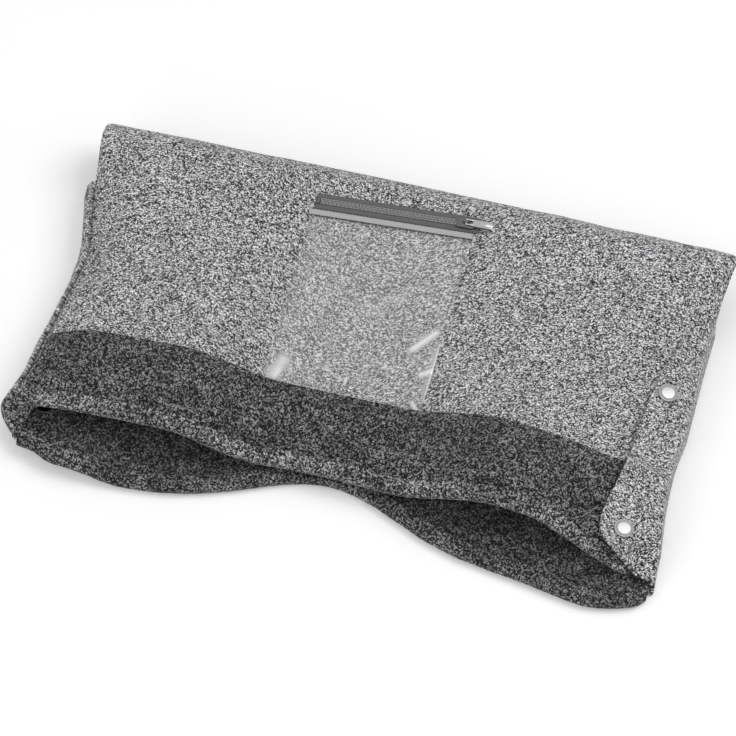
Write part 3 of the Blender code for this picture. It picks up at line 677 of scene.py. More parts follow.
def turned_bmesh(profile: Table, steps: int = 40) -> Mesh:
    """Turns a closed profile of (radius, height) points round the Z axis.

    Args:
        profile: Points of the profile, in order.
        steps: Steps of the full turn.

    Returns:
        The turned solid.
    """
    bm = bmesh.new()
    verts = [bm.verts.new((radius, 0.0, height)) for radius, height in profile]
    edges = [bm.edges.new(pair) for pair in zip(verts, verts[1:] + verts[:1])]
    on_axis = [edge for edge in edges if max(vert.co.x for vert in edge.verts) < 1e-9]
    bmesh.ops.delete(bm, geom=on_axis, context="EDGES_FACES")
    swept(bm, bm.verts[:] + bm.edges[:], (0.0, 0.0, 0.0), (0.0, 0.0, 1.0), math.tau, steps)
    return bm


def swept(
    bm: Mesh, geom: list, centre: Sequence[float], axis: Sequence[float], angle: float, steps: int
) -> None:
    """Spins a profile, then joins its seam and turns the faces outwards.

    Args:
        bm: The mesh that holds the profile.
        geom: The profile's vertices and edges, or its face.
        centre: A point of the axis.
        axis: Direction of the axis.
        angle: Angle of the turn, in radians.
        steps: Steps of the turn.
    """
    full = angle == math.tau
    bmesh.ops.spin(bm, geom=geom, cent=centre, axis=axis, angle=angle, steps=steps, use_merge=full)
    bmesh.ops.remove_doubles(bm, verts=bm.verts[:], dist=1e-6)
    bmesh.ops.recalc_face_normals(bm, faces=bm.faces[:])


def joined(parts: Sequence[Mesh]) -> Mesh:
    """Several meshes in one. The given ones are freed.

    Args:
        parts: The meshes.

    Returns:
        One mesh that holds them all.
    """
    whole = bmesh.new()
    for part in parts:
        passing = bpy.data.meshes.new("passing")
        part.to_mesh(passing)
        whole.from_mesh(passing)
        bpy.data.meshes.remove(passing)
        part.free()
    return whole


def scattered(template: Mesh, frames: Array) -> Mesh:
    """Copies of a small shape, one in each frame.

    Args:
        template: The small shape, which is freed.
        frames: 4 by 4 matrices, one for each copy.

    Returns:
        The mesh of all copies.
    """
    shape = np.array([vert.co[:] for vert in template.verts])
    block = bpy.data.meshes.new("block")
    template.to_mesh(block)
    template.free()
    whole = bmesh.new()
    size = 1
    while size <= len(frames):
        if len(frames) & size:
            whole.from_mesh(block)
        double = bmesh.new()
        double.from_mesh(block)
        double.from_mesh(block)
        double.to_mesh(block)
        double.free()
        size *= 2
    bpy.data.meshes.remove(block)
    places = np.einsum("nij,mj->nmi", frames[:, :3, :3], shape) + frames[:, None, :3, 3]
    for vert, place in zip(whole.verts, places.reshape(-1, 3)):
        vert.co = place
    return whole


def stitch_frames(path: Array, normals: Array, pitch: float) -> Array:
    """Frames at even steps along a seam, X along it and Z out of the cloth.

    Args:
        path: Points along the seam.
        normals: Outward normal at each point.
        pitch: Length from one stitch to the next.

    Returns:
        4 by 4 matrices, one for each stitch.
    """
    length = run_length(path)
    goals = np.arange(pitch / 2, length[-1], pitch)
    reach = pitch * 0.3
    along = sampled(path, length, goals + reach) - sampled(path, length, goals - reach)
    along /= np.linalg.norm(along, axis=1, keepdims=True)
    beside = np.cross(sampled(normals, length, goals), along)
    beside /= np.linalg.norm(beside, axis=1, keepdims=True)
    frames = np.zeros((len(goals), 4, 4))
    frames[:, :3, 0], frames[:, :3, 1], frames[:, :3, 2] = along, beside, np.cross(along, beside)
    frames[:, :3, 3] = sampled(path, length, goals)
    frames[:, 3, 3] = 1.0
    return frames


def stitch_bmesh(length: float, thickness: float) -> Mesh:
    """One stitch: a short plump loop of thread that lies along X.

    Args:
        length: Length that shows.
        thickness: Thickness of the thread.

    Returns:
        The stitch.
    """
    bm = bmesh.new()
    bmesh.ops.create_icosphere(bm, subdivisions=1, radius=0.5)
    bmesh.ops.scale(bm, verts=bm.verts[:], vec=(length, thickness, thickness * 0.9))
    return bm


@dataclass
class Piece:
    """One finished object of the scene and what it stands for."""

    name: str
    body: str
    slot: Slot
    material: Material
    nodes: tuple[str, ...] = ()
    bend: tuple[tuple[float, float, float], tuple[float, float, float]] | None = None

    def build(self, bm: Mesh, where: Matrix | None = None) -> bpy.types.Object:
        """Makes the object, with smooth faces and above the floor, on its body unless it has a bend.

        Args:
            bm: Its mesh, which is freed.
            where: Frame that the mesh is drawn in, None for the row frame.

        Returns:
            The object.
        """
        if where is not None:
            bmesh.ops.transform(bm, matrix=where, verts=bm.verts[:])
        mesh = bpy.data.meshes.new(self.name)
        bm.to_mesh(mesh)
        bm.free()
        places = np.empty(len(mesh.vertices) * 3, np.float32)
        mesh.vertices.foreach_get("co", places)
        places[2::3] = np.maximum(places[2::3], 0.0)
        mesh.vertices.foreach_set("co", places)
        mesh.polygons.foreach_set("use_smooth", [True] * len(mesh.polygons))
        mesh.materials.append(self.material)
        obj = bpy.data.objects.new(self.name, mesh)
        bpy.context.scene.collection.objects.link(obj)
        if self.bend is None:
            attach(obj, self.body)
        else:
            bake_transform(obj)
        if self.nodes:
            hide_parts(*self.nodes)
        LOG.info("%s: %d faces on %s", self.name, len(mesh.polygons), self.body)
        return obj


# Shader benches and shared effects


class Bench:
    """Adds nodes to one shader tree and joins them."""

    def __init__(self, tree: bpy.types.NodeTree) -> None:
        """Takes the tree to work on."""
        self.tree = tree

    def put(self, node: Node, inputs: dict) -> Node:
        """Gives a node's inputs their values.

        Args:
            node: The node.
            inputs: Values, or sockets to join, by the input's name or place.

        Returns:
            The node.
        """
        for key, value in inputs.items():
            if isinstance(value, Socket):
                self.tree.links.new(value, node.inputs[key])
            else:
                node.inputs[key].default_value = value
        return node

    def add(self, kind: str, inputs: dict | None = None, **settings: object) -> Node:
        """Adds a node.

        Args:
            kind: The node's type.
            inputs: Values or sockets for its inputs, by name or place.
            **settings: Its own settings.

        Returns:
            The node.
        """
        node = self.tree.nodes.new(kind)
        node.location = (len(self.tree.nodes) * 180.0 - 1800.0, (len(self.tree.nodes) % 4) * -170.0)
        for name, value in settings.items():
            setattr(node, name, value)
        return self.put(node, inputs or {})

    def math(self, operation: str, first: object, second: object = 0.0) -> Socket:
        """A sum of two numbers or sockets, and its output."""
        return self.add("ShaderNodeMath", {0: first, 1: second}, operation=operation).outputs[0]

    def vector(self, operation: str, inputs: dict) -> Socket:
        """A sum with vectors, and its output."""
        return self.add("ShaderNodeVectorMath", inputs, operation=operation).outputs[0]

    def remap(self, value: object, low: float, high: float, to_low: float, to_high: float) -> Socket:
        """A value moved smoothly from one range to another."""
        inputs = {"Value": value, "From Min": low, "From Max": high, "To Min": to_low, "To Max": to_high}
        return self.add("ShaderNodeMapRange", inputs, interpolation_type="SMOOTHSTEP").outputs[0]

    def times(self, first: object, second: object) -> Socket:
        """Two colours multiplied."""
        inputs = {0: 1.0, 6: first, 7: second}
        return self.add("ShaderNodeMix", inputs, data_type="RGBA", blend_type="MULTIPLY").outputs[2]

    def ramp(self, factor: object, *stops: tuple[float, float]) -> Socket:
        """Greys along a ramp.

        Args:
            factor: Where to read the ramp.
            *stops: Pairs of place and linear grey.

        Returns:
            The colour's socket.
        """
        node = self.add("ShaderNodeValToRGB", {0: factor})
        elements = node.color_ramp.elements
        while len(elements) < len(stops):
            elements.new(0.5)
        for element, (place, grey) in zip(elements, stops):
            element.position = place
            element.color = (grey, grey, grey * 1.01, 1.0)
        return node.outputs[0]

    def noise(self, vector: object, scale: float, detail: float = 2.0, rough: float = 0.5) -> Node:
        """A noise texture."""
        inputs = {"Vector": vector, "Scale": scale, "Detail": detail, "Roughness": rough}
        return self.add("ShaderNodeTexNoise", inputs)

    def cells(self, vector: object, flat: bool) -> tuple[Socket, Socket]:
        """Random cells one unit wide.

        Args:
            vector: Where to read them.
            flat: Whether they lie in one plane.

        Returns:
            A random grey for each cell, and the distance from its middle.
        """
        inputs = {"Vector": vector, "Scale": 1.0, "Randomness": 1.0}
        cell = self.add("ShaderNodeTexVoronoi", inputs, voronoi_dimensions="2D" if flat else "3D")
        grey = self.add("ShaderNodeSeparateColor", {0: cell.outputs["Color"]}).outputs[0]
        return grey, cell.outputs["Distance"]

    def scaled(
        self, vector: Socket, size: Socket, turn: float, stretch: Sequence[float] = (1.0, 1.0, 1.0)
    ) -> Socket:
        """A vector turned, divided by a size and stretched, as a texture reads it.

        Args:
            vector: The vector.
            size: The pattern's size in metres.
            turn: Angle about Z, in radians.
            stretch: Cells per size along each axis.

        Returns:
            The scaled vector.
        """
        inputs = {"Vector": vector, "Rotation": (0.0, 0.0, turn), "Scale": stretch}
        turned = self.add("ShaderNodeMapping", inputs).outputs[0]
        return self.vector("SCALE", {0: turned, "Scale": self.math("DIVIDE", 1.0, size)})

    def bump(self, height: Socket, strength: float, distance: float) -> Socket:
        """A normal from a height, with the pattern's real height in metres."""
        inputs = {"Height": height, "Strength": strength, "Distance": distance}
        return self.add("ShaderNodeBump", inputs).outputs[0]

    def seen(self) -> Socket:
        """1 for what the camera sees, also in metal and through clear plastic, and 0 for other light.

        Returns:
            Socket of that number.
        """
        path = self.add("ShaderNodeLightPath").outputs
        seen = self.math("MAXIMUM", path["Is Camera Ray"], path["Is Glossy Ray"])
        return self.math("MAXIMUM", seen, path["Is Transmission Ray"])

    def cloth_coordinates(self) -> Socket:
        """The UV map in metres along the cloth."""
        return self.add("ShaderNodeUVMap", uv_map="surface").outputs[0]

    def object_coordinates(self) -> Socket:
        """Coordinates in metres in the row frame."""
        return self.add("ShaderNodeTexCoord").outputs["Object"]


Sockets = dict[str, Socket]


@dataclass(frozen=True)
class Effect:
    """A shader group that several finishes share, built when it is first used."""

    name: str
    make: Callable[[Bench, Sockets], Sockets]
    numbers: tuple[str, ...] = ("Size",)

    def tree(self) -> bpy.types.NodeTree:
        """The group's tree, with its sockets and nodes.

        Returns:
            The tree, which is made once.
        """
        if self.name in bpy.data.node_groups:
            return bpy.data.node_groups[self.name]
        tree = bpy.data.node_groups.new(self.name, "ShaderNodeTree")
        tree.interface.new_socket(name="Vector", in_out="INPUT", socket_type="NodeSocketVector")
        for number in self.numbers:
            tree.interface.new_socket(name=number, in_out="INPUT", socket_type="NodeSocketFloat")
        bench = Bench(tree)
        made = self.make(bench, bench.add("NodeGroupInput").outputs)
        for name in made:
            tree.interface.new_socket(name=name, in_out="OUTPUT", socket_type="NodeSocketFloat")
        bench.add("NodeGroupOutput", made)
        return tree

    def place(self, bench: Bench, vector: Socket, *numbers: float) -> Sockets:
        """Puts the group into a material with its own numbers, and gives its outputs."""
        inputs = {"Vector": vector} | dict(zip(self.numbers, numbers))
        return bench.add("ShaderNodeGroup", inputs, node_tree=self.tree()).outputs


def melange_yarns(bench: Bench, given: Sockets) -> Sockets:
    """Short light and dark flecks of yarn that cross at an angle.

    Args:
        bench: The group's bench.
        given: What comes into the group.

    Returns:
        What goes out.
    """
    vector, size = given["Vector"], given["Size"]
    plain = bench.scaled(vector, size, 0.0)
    wander = bench.noise(plain, 0.45, 2.0, 0.6).outputs["Color"]
    shift = bench.vector("SUBTRACT", {0: wander, 1: (0.5, 0.5, 0.5)})
    bent = bench.vector("ADD", {0: vector, 1: bench.vector("SCALE", {0: shift, "Scale": 0.0004})})
    turned = [bench.scaled(bent, size, turn, (0.95, 1.35, 1.0)) for turn in (0.72, -0.55)]
    flecks = [bench.cells(vector, True) for vector in turned]
    over = bench.remap(bench.noise(plain, 0.8, 1.0).outputs[0], 0.46, 0.54, 0.0, 1.0)
    over = bench.math("MULTIPLY", bench.math("ADD", over, 0.5), 0.667)
    under = bench.math("SUBTRACT", 1.0, over)
    shade, distance = (
        bench.math("ADD", bench.math("MULTIPLY", first, over), bench.math("MULTIPLY", second, under))
        for first, second in zip(*flecks)
    )
    fibre = bench.noise(plain, 3.2, 2.0, 0.7).outputs[0]
    return {
        "Shade": bench.math("ADD", shade, bench.remap(fibre, 0.3, 0.7, -0.10, 0.10)),
        "Height": bench.math("SUBTRACT", bench.math("MULTIPLY", fibre, 0.5), distance),
    }


def plush_pile(bench: Bench, given: Sockets) -> Sockets:
    """Short standing pile, with patches where it was brushed another way.

    Args:
        bench: The group's bench.
        given: What comes into the group.

    Returns:
        What goes out.
    """
    hairs = bench.scaled(given["Vector"], given["Size"], 0.2, (1.0, 0.85, 1.0))
    tufts = bench.noise(hairs, 0.55, 3.0, 0.72).outputs[0]
    grain = bench.math("MULTIPLY", bench.cells(hairs, False)[0], 0.76)
    broad = bench.scaled(given["Vector"], given["Patch"], 0.35, (1.0, 1.4, 1.0))
    patches = bench.put(bench.noise(broad, 1.0, 3.0, 0.6), {"Distortion": 0.7}).outputs[0]
    return {
        "Shade": bench.math("ADD", grain, bench.remap(tufts, 0.30, 0.70, 0.0, 0.24)),
        "Nap": bench.remap(patches, 0.36, 0.64, 0.0, 1.0),
        "Height": tufts,
    }


def handling_marks(bench: Bench, given: Sockets) -> Sockets:
    """Faint scuffs of handling on metal and plastic.

    Args:
        bench: The group's bench.
        given: What comes into the group.

    Returns:
        What goes out.
    """
    fine = bench.scaled(given["Vector"], given["Size"], 0.5)
    drawn_out = bench.scaled(given["Vector"], given["Size"], 0.9, (3.5, 0.35, 1.0))
    clouds = bench.noise(fine, 0.6, 3.0, 0.6).outputs[0]
    lines = bench.remap(bench.noise(drawn_out, 2.0, 2.0, 0.7).outputs[0], 0.52, 0.72, 0.0, 1.0)
    return {"Marks": bench.math("MULTIPLY", lines, bench.remap(clouds, 0.3, 0.7, 0.2, 1.0)), "Height": clouds}


def fine_weave(bench: Bench, given: Sockets) -> Sockets:
    """Fine over-and-under threads of a tape.

    Args:
        bench: The group's bench.
        given: What comes into the group.

    Returns:
        What goes out.
    """
    threads = []
    for turn in (0.0, math.pi / 2):
        plain = bench.scaled(given["Vector"], given["Size"], turn)
        inputs = {"Vector": plain, "Scale": 0.33, "Distortion": 0.4, "Detail": 1.0}
        threads.append(bench.add("ShaderNodeTexWave", inputs, wave_type="BANDS").outputs["Fac"])
    grain = bench.noise(bench.scaled(given["Vector"], given["Size"], 0.3), 1.1).outputs[0]
    height = bench.math("MAXIMUM", *threads)
    shade = bench.math("ADD", bench.math("MULTIPLY", height, 0.7), bench.math("MULTIPLY", grain, 0.3))
    return {"Shade": shade, "Height": height}


YARNS = Effect("melange_yarns", melange_yarns)
PILE = Effect("plush_pile", plush_pile, ("Size", "Patch"))
MARKS = Effect("handling_marks", handling_marks)
WEAVE = Effect("fine_weave", fine_weave)


# Finishes


@dataclass(frozen=True)
class Finish:
    """A finish, which dresses one new material."""

    name: str

    def dress(self, bench: Bench) -> dict:
        """Adds the finish's nodes, and gives what goes into the Principled shader."""
        raise NotImplementedError

    def material(self) -> Material:
        """Makes the material.

        Returns:
            The dressed material.
        """
        material = bpy.data.materials.new(self.name)
        material.use_nodes = True
        bench = Bench(material.node_tree)
        bench.put(material.node_tree.nodes["Principled BSDF"], self.dress(bench))
        return material


@dataclass(frozen=True)
class MelangeFelt(Finish):
    """Tweedy felt of light and dark yarns."""

    level: float = 1.0
    fleck: float = 0.00100
    greys: Table = ((0.00, 0.008), (0.34, 0.03), (0.50, 0.17), (0.64, 0.62), (0.80, 0.96))

    def dress(self, bench: Bench) -> dict:
        """Flecks of yarn, with soft clouds over them.

        Args:
            bench: Where the nodes go.

        Returns:
            What goes into the shader.
        """
        where = bench.cloth_coordinates()
        yarns = YARNS.place(bench, where, self.fleck)
        colour = bench.ramp(yarns["Shade"], *((place, grey * self.level) for place, grey in self.greys))
        clouds = bench.ramp(bench.noise(where, 28.0).outputs[0], (0.3, 0.88), (0.7, 1.0))
        return {
            "Base Color": bench.times(colour, clouds), "Roughness": 0.93, "Specular IOR Level": 0.25,
            "Sheen Weight": 0.12, "Sheen Roughness": 0.6, "Normal": bench.bump(yarns["Height"], 0.55, 0.0005),
        }


@dataclass(frozen=True)
class Plush(Finish):
    """Dark short pile, with its greys between the hairs and on the tips."""

    low: float
    high: float
    sheen: float
    hair: float = 0.00094
    patch: float = 0.024

    def dress(self, bench: Bench) -> dict:
        """Pile with brushed patches.

        Args:
            bench: Where the nodes go.

        Returns:
            What goes into the shader.
        """
        low, high = self.low, self.high
        pile = PILE.place(bench, bench.object_coordinates(), self.hair, self.patch)
        tips = bench.ramp(pile["Shade"], (0.12, low), (0.44, low * 3.0), (0.64, high * 0.40), (0.80, high))
        brushed = bench.ramp(pile["Nap"], (0.0, 0.74), (1.0, 1.22))
        return {
            "Base Color": bench.times(tips, brushed), "Roughness": 1.0, "Specular IOR Level": 0.12,
            "Sheen Weight": self.sheen, "Sheen Roughness": 0.45,
            "Normal": bench.bump(pile["Height"], 0.8, 0.0009),
        }


@dataclass(frozen=True)
class Wadding(Finish):
    """White fibre padding, seen only at an open edge."""

    def dress(self, bench: Bench) -> dict:
        """Coarse white pile.

        Args:
            bench: Where the nodes go.

        Returns:
            What goes into the shader.
        """
        pile = PILE.place(bench, bench.object_coordinates(), 0.0016, 0.012)
        colour = bench.ramp(pile["Shade"], (0.0, 0.62), (1.0, 0.84))
        return {"Base Color": colour, "Roughness": 1.0, "Normal": bench.bump(pile["Height"], 0.7, 0.0010)}


@dataclass(frozen=True)
class ClearVinyl(Finish):
    """Clear soft plastic, with a faint haze, rubbed patches, and painted white glare highlights along its
    creases.
    """

    haze: float = 0.085

    def dress(self, bench: Bench) -> dict:
        """A see-through sheet that stops a little light.

        Args:
            bench: Where the nodes go.

        Returns:
            What goes into the shader.
        """
        where = bench.object_coordinates()
        marks = MARKS.place(bench, where, 0.008)
        clear = bench.remap(marks["Height"], 0.3, 0.7, self.haze * 0.8, self.haze * 1.25)
        # Painted highlight: the sheet is made whiter and less clear along its creases, as streaks of glare.
        painted_glare = bench.add("ShaderNodeAttribute", attribute_name="crease_white").outputs["Fac"]
        return {
            "Base Color": (0.90, 0.90, 0.91, 1.0), "IOR": 1.53, "Coat Weight": 1.0, "Coat Roughness": 0.05,
            "Roughness": bench.remap(marks["Marks"], 0.0, 1.0, 0.06, 0.16),
            "Alpha": bench.math("MINIMUM", bench.math("ADD", clear, painted_glare), 0.9),
            "Normal": bench.bump(bench.noise(where, 55.0).outputs[0], 0.25, 0.0012),
        }


@dataclass(frozen=True)
class WovenTape(Finish):
    """Fine woven ribbon, with its greys between and on the threads, and a thread's width."""

    low: float
    high: float
    thread: float

    def dress(self, bench: Bench) -> dict:
        """Threads over and under.

        Args:
            bench: Where the nodes go.

        Returns:
            What goes into the shader.
        """
        weave = WEAVE.place(bench, bench.object_coordinates(), self.thread)
        return {
            "Base Color": bench.ramp(weave["Shade"], (0.15, self.low), (0.85, self.high)),
            "Roughness": 0.82, "Sheen Weight": 0.1, "Normal": bench.bump(weave["Height"], 0.5, 0.0002),
        }


@dataclass(frozen=True)
class HardFinish(Finish):
    """Metal or moulded plastic with faint handling marks, smooth where clean and rough where rubbed."""

    grey: float
    metallic: float
    smooth: float
    rough: float

    def dress(self, bench: Bench) -> dict:
        """One grey with scuffs.

        Args:
            bench: Where the nodes go.

        Returns:
            What goes into the shader.
        """
        marks = MARKS.place(bench, bench.object_coordinates(), 0.0016)
        return {
            "Base Color": bench.ramp(marks["Marks"], (0.0, self.grey), (1.0, self.grey * 0.86)),
            "Roughness": bench.remap(marks["Marks"], 0.0, 1.0, self.smooth, self.rough),
            "Metallic": self.metallic, "Normal": bench.bump(marks["Height"], 0.08, 0.0002),
        }


@dataclass(frozen=True)
class Thread(Finish):
    """Twisted sewing thread of one grey."""

    grey: float

    def dress(self, bench: Bench) -> dict:
        """Fine bands of twist.

        Args:
            bench: Where the nodes go.

        Returns:
            What goes into the shader.
        """
        inputs = {"Vector": bench.object_coordinates(), "Scale": 900.0, "Distortion": 1.0}
        twist = bench.add("ShaderNodeTexWave", inputs).outputs["Fac"]
        colour = bench.ramp(twist, (0.0, self.grey * 0.7), (1.0, self.grey * 1.15))
        return {"Base Color": colour, "Roughness": 0.7}


@dataclass(frozen=True)
class PaleFloor(Finish):
    """A pale floor that keeps the shadow and is near white to the camera."""

    glow: float = 0.20

    def dress(self, bench: Bench) -> dict:
        """Near white, with a faint glow for what the camera sees.

        Args:
            bench: Where the nodes go.

        Returns:
            What goes into the shader.
        """
        grain = bench.noise(bench.object_coordinates(), 4.0).outputs[0]
        return {
            "Base Color": bench.ramp(grain, (0.3, 0.93), (0.7, 0.95)), "Roughness": 0.9,
            "Emission Color": (1.0, 1.0, 1.0, 1.0),
            "Emission Strength": bench.math("MULTIPLY", bench.seen(), self.glow),
        }


class Wardrobe:
    """Every finish of the muff, made once."""

    def __init__(self) -> None:
        """Makes the materials."""
        self.felt = MelangeFelt("melange_felt_outer").material()
        self.flap_felt = MelangeFelt("melange_felt_flap", 0.97).material()
        self.cuff = Plush("plush_cuff", 0.0065, 0.31, 0.10).material()
        self.rims = {
            # The front rim's plush is the cuff's fabric, painted lighter to stand in for light on its shaded
            # rolled edge.
            Rim.FRONT: Plush("plush_front_rim_painted_light", 0.0110, 0.48, 0.18).material(),
            Rim.BACK: Plush("plush_back_rim", 0.0090, 0.34, 0.12).material(),
        }
        self.lining = Plush("plush_lining_inside", 0.0085, 0.25, 0.08).material()
        self.wadding = Wadding("fibre_wadding").material()
        self.vinyl = ClearVinyl("soft_clear_sheet").material()
        self.tape = WovenTape("zip_tape_weave", 0.020, 0.16, 0.0009).material()
        self.hem = WovenTape("hem_strip_weave", 0.34, 0.52, 0.0005).material()
        self.plastic = HardFinish("moulded_teeth", 0.28, 0.0, 0.32, 0.5).material()
        self.slider = HardFinish("plated_slider", 0.14, 1.0, 0.30, 0.5).material()
        self.pull = HardFinish("plated_pull", 0.42, 1.0, 0.24, 0.4).material()
        self.stud = HardFinish("polished_stud", 0.30, 1.0, 0.26, 0.42).material()
        self.ring = HardFinish("darkened_ring", 0.10, 1.0, 0.34, 0.5).material()
        self.felt_thread = Thread("grey_thread", 0.22).material()
        self.plush_thread = Thread("dark_thread", 0.05).material()


# The padded body


@dataclass
class Maker:
    """What every maker of pieces works from."""

    form: MuffForm
    draw: SideDraw
    wardrobe: Wardrobe


@dataclass
class PaddedBody(Maker):
    """Felt outside, padding and plush lining, folded round the handlebar as one sandwich."""

    side_step: float = 0.0021
    middle_step: float = 0.0036
    back_rows: int = 74
    fold_rows: int = 24
    front_rows: int = 78
    edge_round: float = 0.0035
    edge_sink: float = 0.0010
    creases: tuple[Crease, ...] = (
        Crease((-0.214, 0.064), (-0.229, 0.030), 0.0016, 0.0016),
        Crease((-0.150, 0.118), (-0.190, 0.060), 0.0006, 0.0080),
        Crease((0.120, 0.110), (0.165, 0.030), 0.0007, 0.0090),
        Crease((0.075, 0.020), (0.110, -0.030), 0.0006, 0.0070),
    )

    def __post_init__(self) -> None:
        """Works out the shared grid of places."""
        half, curl = self.form.half_width, self.form.curl_start
        side = np.linspace(curl, half, int((half - curl) / self.side_step) + 1)
        middle = np.linspace(-curl, curl, int(2 * curl / self.middle_step) + 1)
        self.columns = np.concatenate([-side[::-1], middle[1:-1], side])
        self.places = self.draw.moved(self.grid(), self.frontness())
        self.normals = outward_normals(self.places)
        self.length = run_length(self.places)
        self.from_rim = np.minimum(self.length, self.length[-1] - self.length)
        self.from_side = np.broadcast_to(half - np.abs(self.columns), self.length.shape)
        run = run_length(self.places, 1)
        run -= run[:, [len(self.columns) // 2]]
        self.coat = np.stack([run, self.length], axis=2)
        self.places = self.places + self.normals * self.relief()[..., None]

    def grid(self) -> Array:
        """Points of the outer face, from the back rim round the fold to the front rim.

        Returns:
            Points by row and column.
        """
        form, x = self.form, self.columns
        rows = []
        low = form.rim(Rim.BACK, x)
        for share in np.linspace(0.0, 1.0, self.back_rows) ** 1.08:
            y = low + (form.fold_y - low) * share
            rows.append(np.stack([x, y, form.back_height(x, y)], axis=1))
        crown = form.fold_crown * (1 - (x / form.half_width) ** 2)
        for turn in np.linspace(-math.pi / 2, math.pi / 2 - form.tilt, self.fold_rows)[1:]:
            y = form.fold_y + form.fold_radius * math.cos(turn) + crown * math.cos(turn) ** 2
            z = np.full_like(x, form.fold_radius * (1 + math.sin(turn)))
            rows.append(np.stack([x, y, z], axis=1))
        start = form.fold_y + form.fold_radius * math.sin(form.tilt)
        end = form.rim(Rim.FRONT, x)
        for share in np.linspace(0.0, 1.0, self.front_rows)[1:]:
            y = start + (end - start) * share
            rows.append(np.stack([x, y, form.front_height(x, y)], axis=1))
        return np.array(rows)

    def frontness(self) -> Array:
        """0 on the back panel, 1 on the front panel and between in the fold, for each row."""
        fold = ease(np.linspace(0.0, 1.0, self.fold_rows)[1:] * 1.6 - 0.5)
        return np.concatenate([np.zeros(self.back_rows), fold, np.ones(self.front_rows - 1)])[:, None]

    def relief(self) -> Array:
        """Soft unevenness of the hand-stuffed cloth, level at the zip, seams and studs.

        Returns:
            How far each place stands out from the plain form, in metres.
        """
        x, y = self.places[..., 0], self.places[..., 1]
        broad = soft_noise(self.places, 0.055, 3.1) * 0.0011
        small = soft_noise(self.places, 0.019, 7.7) * 0.0004
        relief = (broad + small) * (ease(self.from_side / 0.02) * ease(self.from_rim / 0.02))
        above = self.places[..., 2] > self.form.fold_radius
        zip_zone = above & (np.abs(x - self.form.pinch_x) < 0.09) & (y > 0.03)
        relief = np.where(zip_zone, relief * 0.15, relief)
        for crease in self.creases:
            relief = relief - np.where(above, crease.at(x, y), 0.0)
        under = ~above & (y < self.form.fold_y)
        return np.where(under, -np.abs(relief) * 0.6, relief)

    def layer(self, outer: Array, inner: Array, trim: int = 0, skip: int = 1) -> Mesh:
        """A closed shell between two depths below the outer face.

        Args:
            outer: Depth of its outer face at each place.
            inner: Depth of its inner face.
            trim: Rows and columns left out at every edge.
            skip: Takes every such row and column.

        Returns:
            The shell.
        """
        cut = (slice(trim, -trim if trim else None, skip),) * 2
        top, bottom = (self.places - self.normals * depth[..., None] for depth in (outer, inner))
        return shell_bmesh(top[cut], bottom[cut], self.coat[cut], 0.0005 if skip == 1 else 0.0)

    def build(self) -> None:
        """Builds the three layers, felt and lining drawn in a little at the sewn side edges."""
        form, wardrobe = self.form, self.wardrobe
        share = np.clip(self.from_side / self.edge_round, 0.0, 1.0)
        roll = self.edge_sink * (1.0 - np.sqrt(1.0 - (1.0 - share) ** 2))
        bm = self.layer(roll, np.full_like(roll, form.felt))
        felt = Piece("felt_outer", "muff", Slot.FELT, wardrobe.felt, ("felt_shell",)).build(bm)
        under = form.felt + form.gap
        pad = form.padding(self.from_side, self.from_rim)
        bm = self.layer(np.full_like(pad, under), under + pad, trim=3, skip=2)
        padding = Piece("fibre_padding", "muff", Slot.WADDING, wardrobe.wadding, ("wadding",)).build(bm)
        inside = ease(np.minimum(self.from_side / form.side_inset, self.from_rim / form.rim_inset))
        depth = under + (pad + form.gap) * inside
        fluff = soft_noise(self.places, 0.0045, 11.0) * 0.00025 + soft_noise(self.places, 0.03, 5.0) * 0.0004
        bm = self.layer(depth, depth + form.plush - roll + fluff)
        lining = Piece("plush_inside", "muff", Slot.PLUSH, wardrobe.lining, ("plush_lining",)).build(bm)


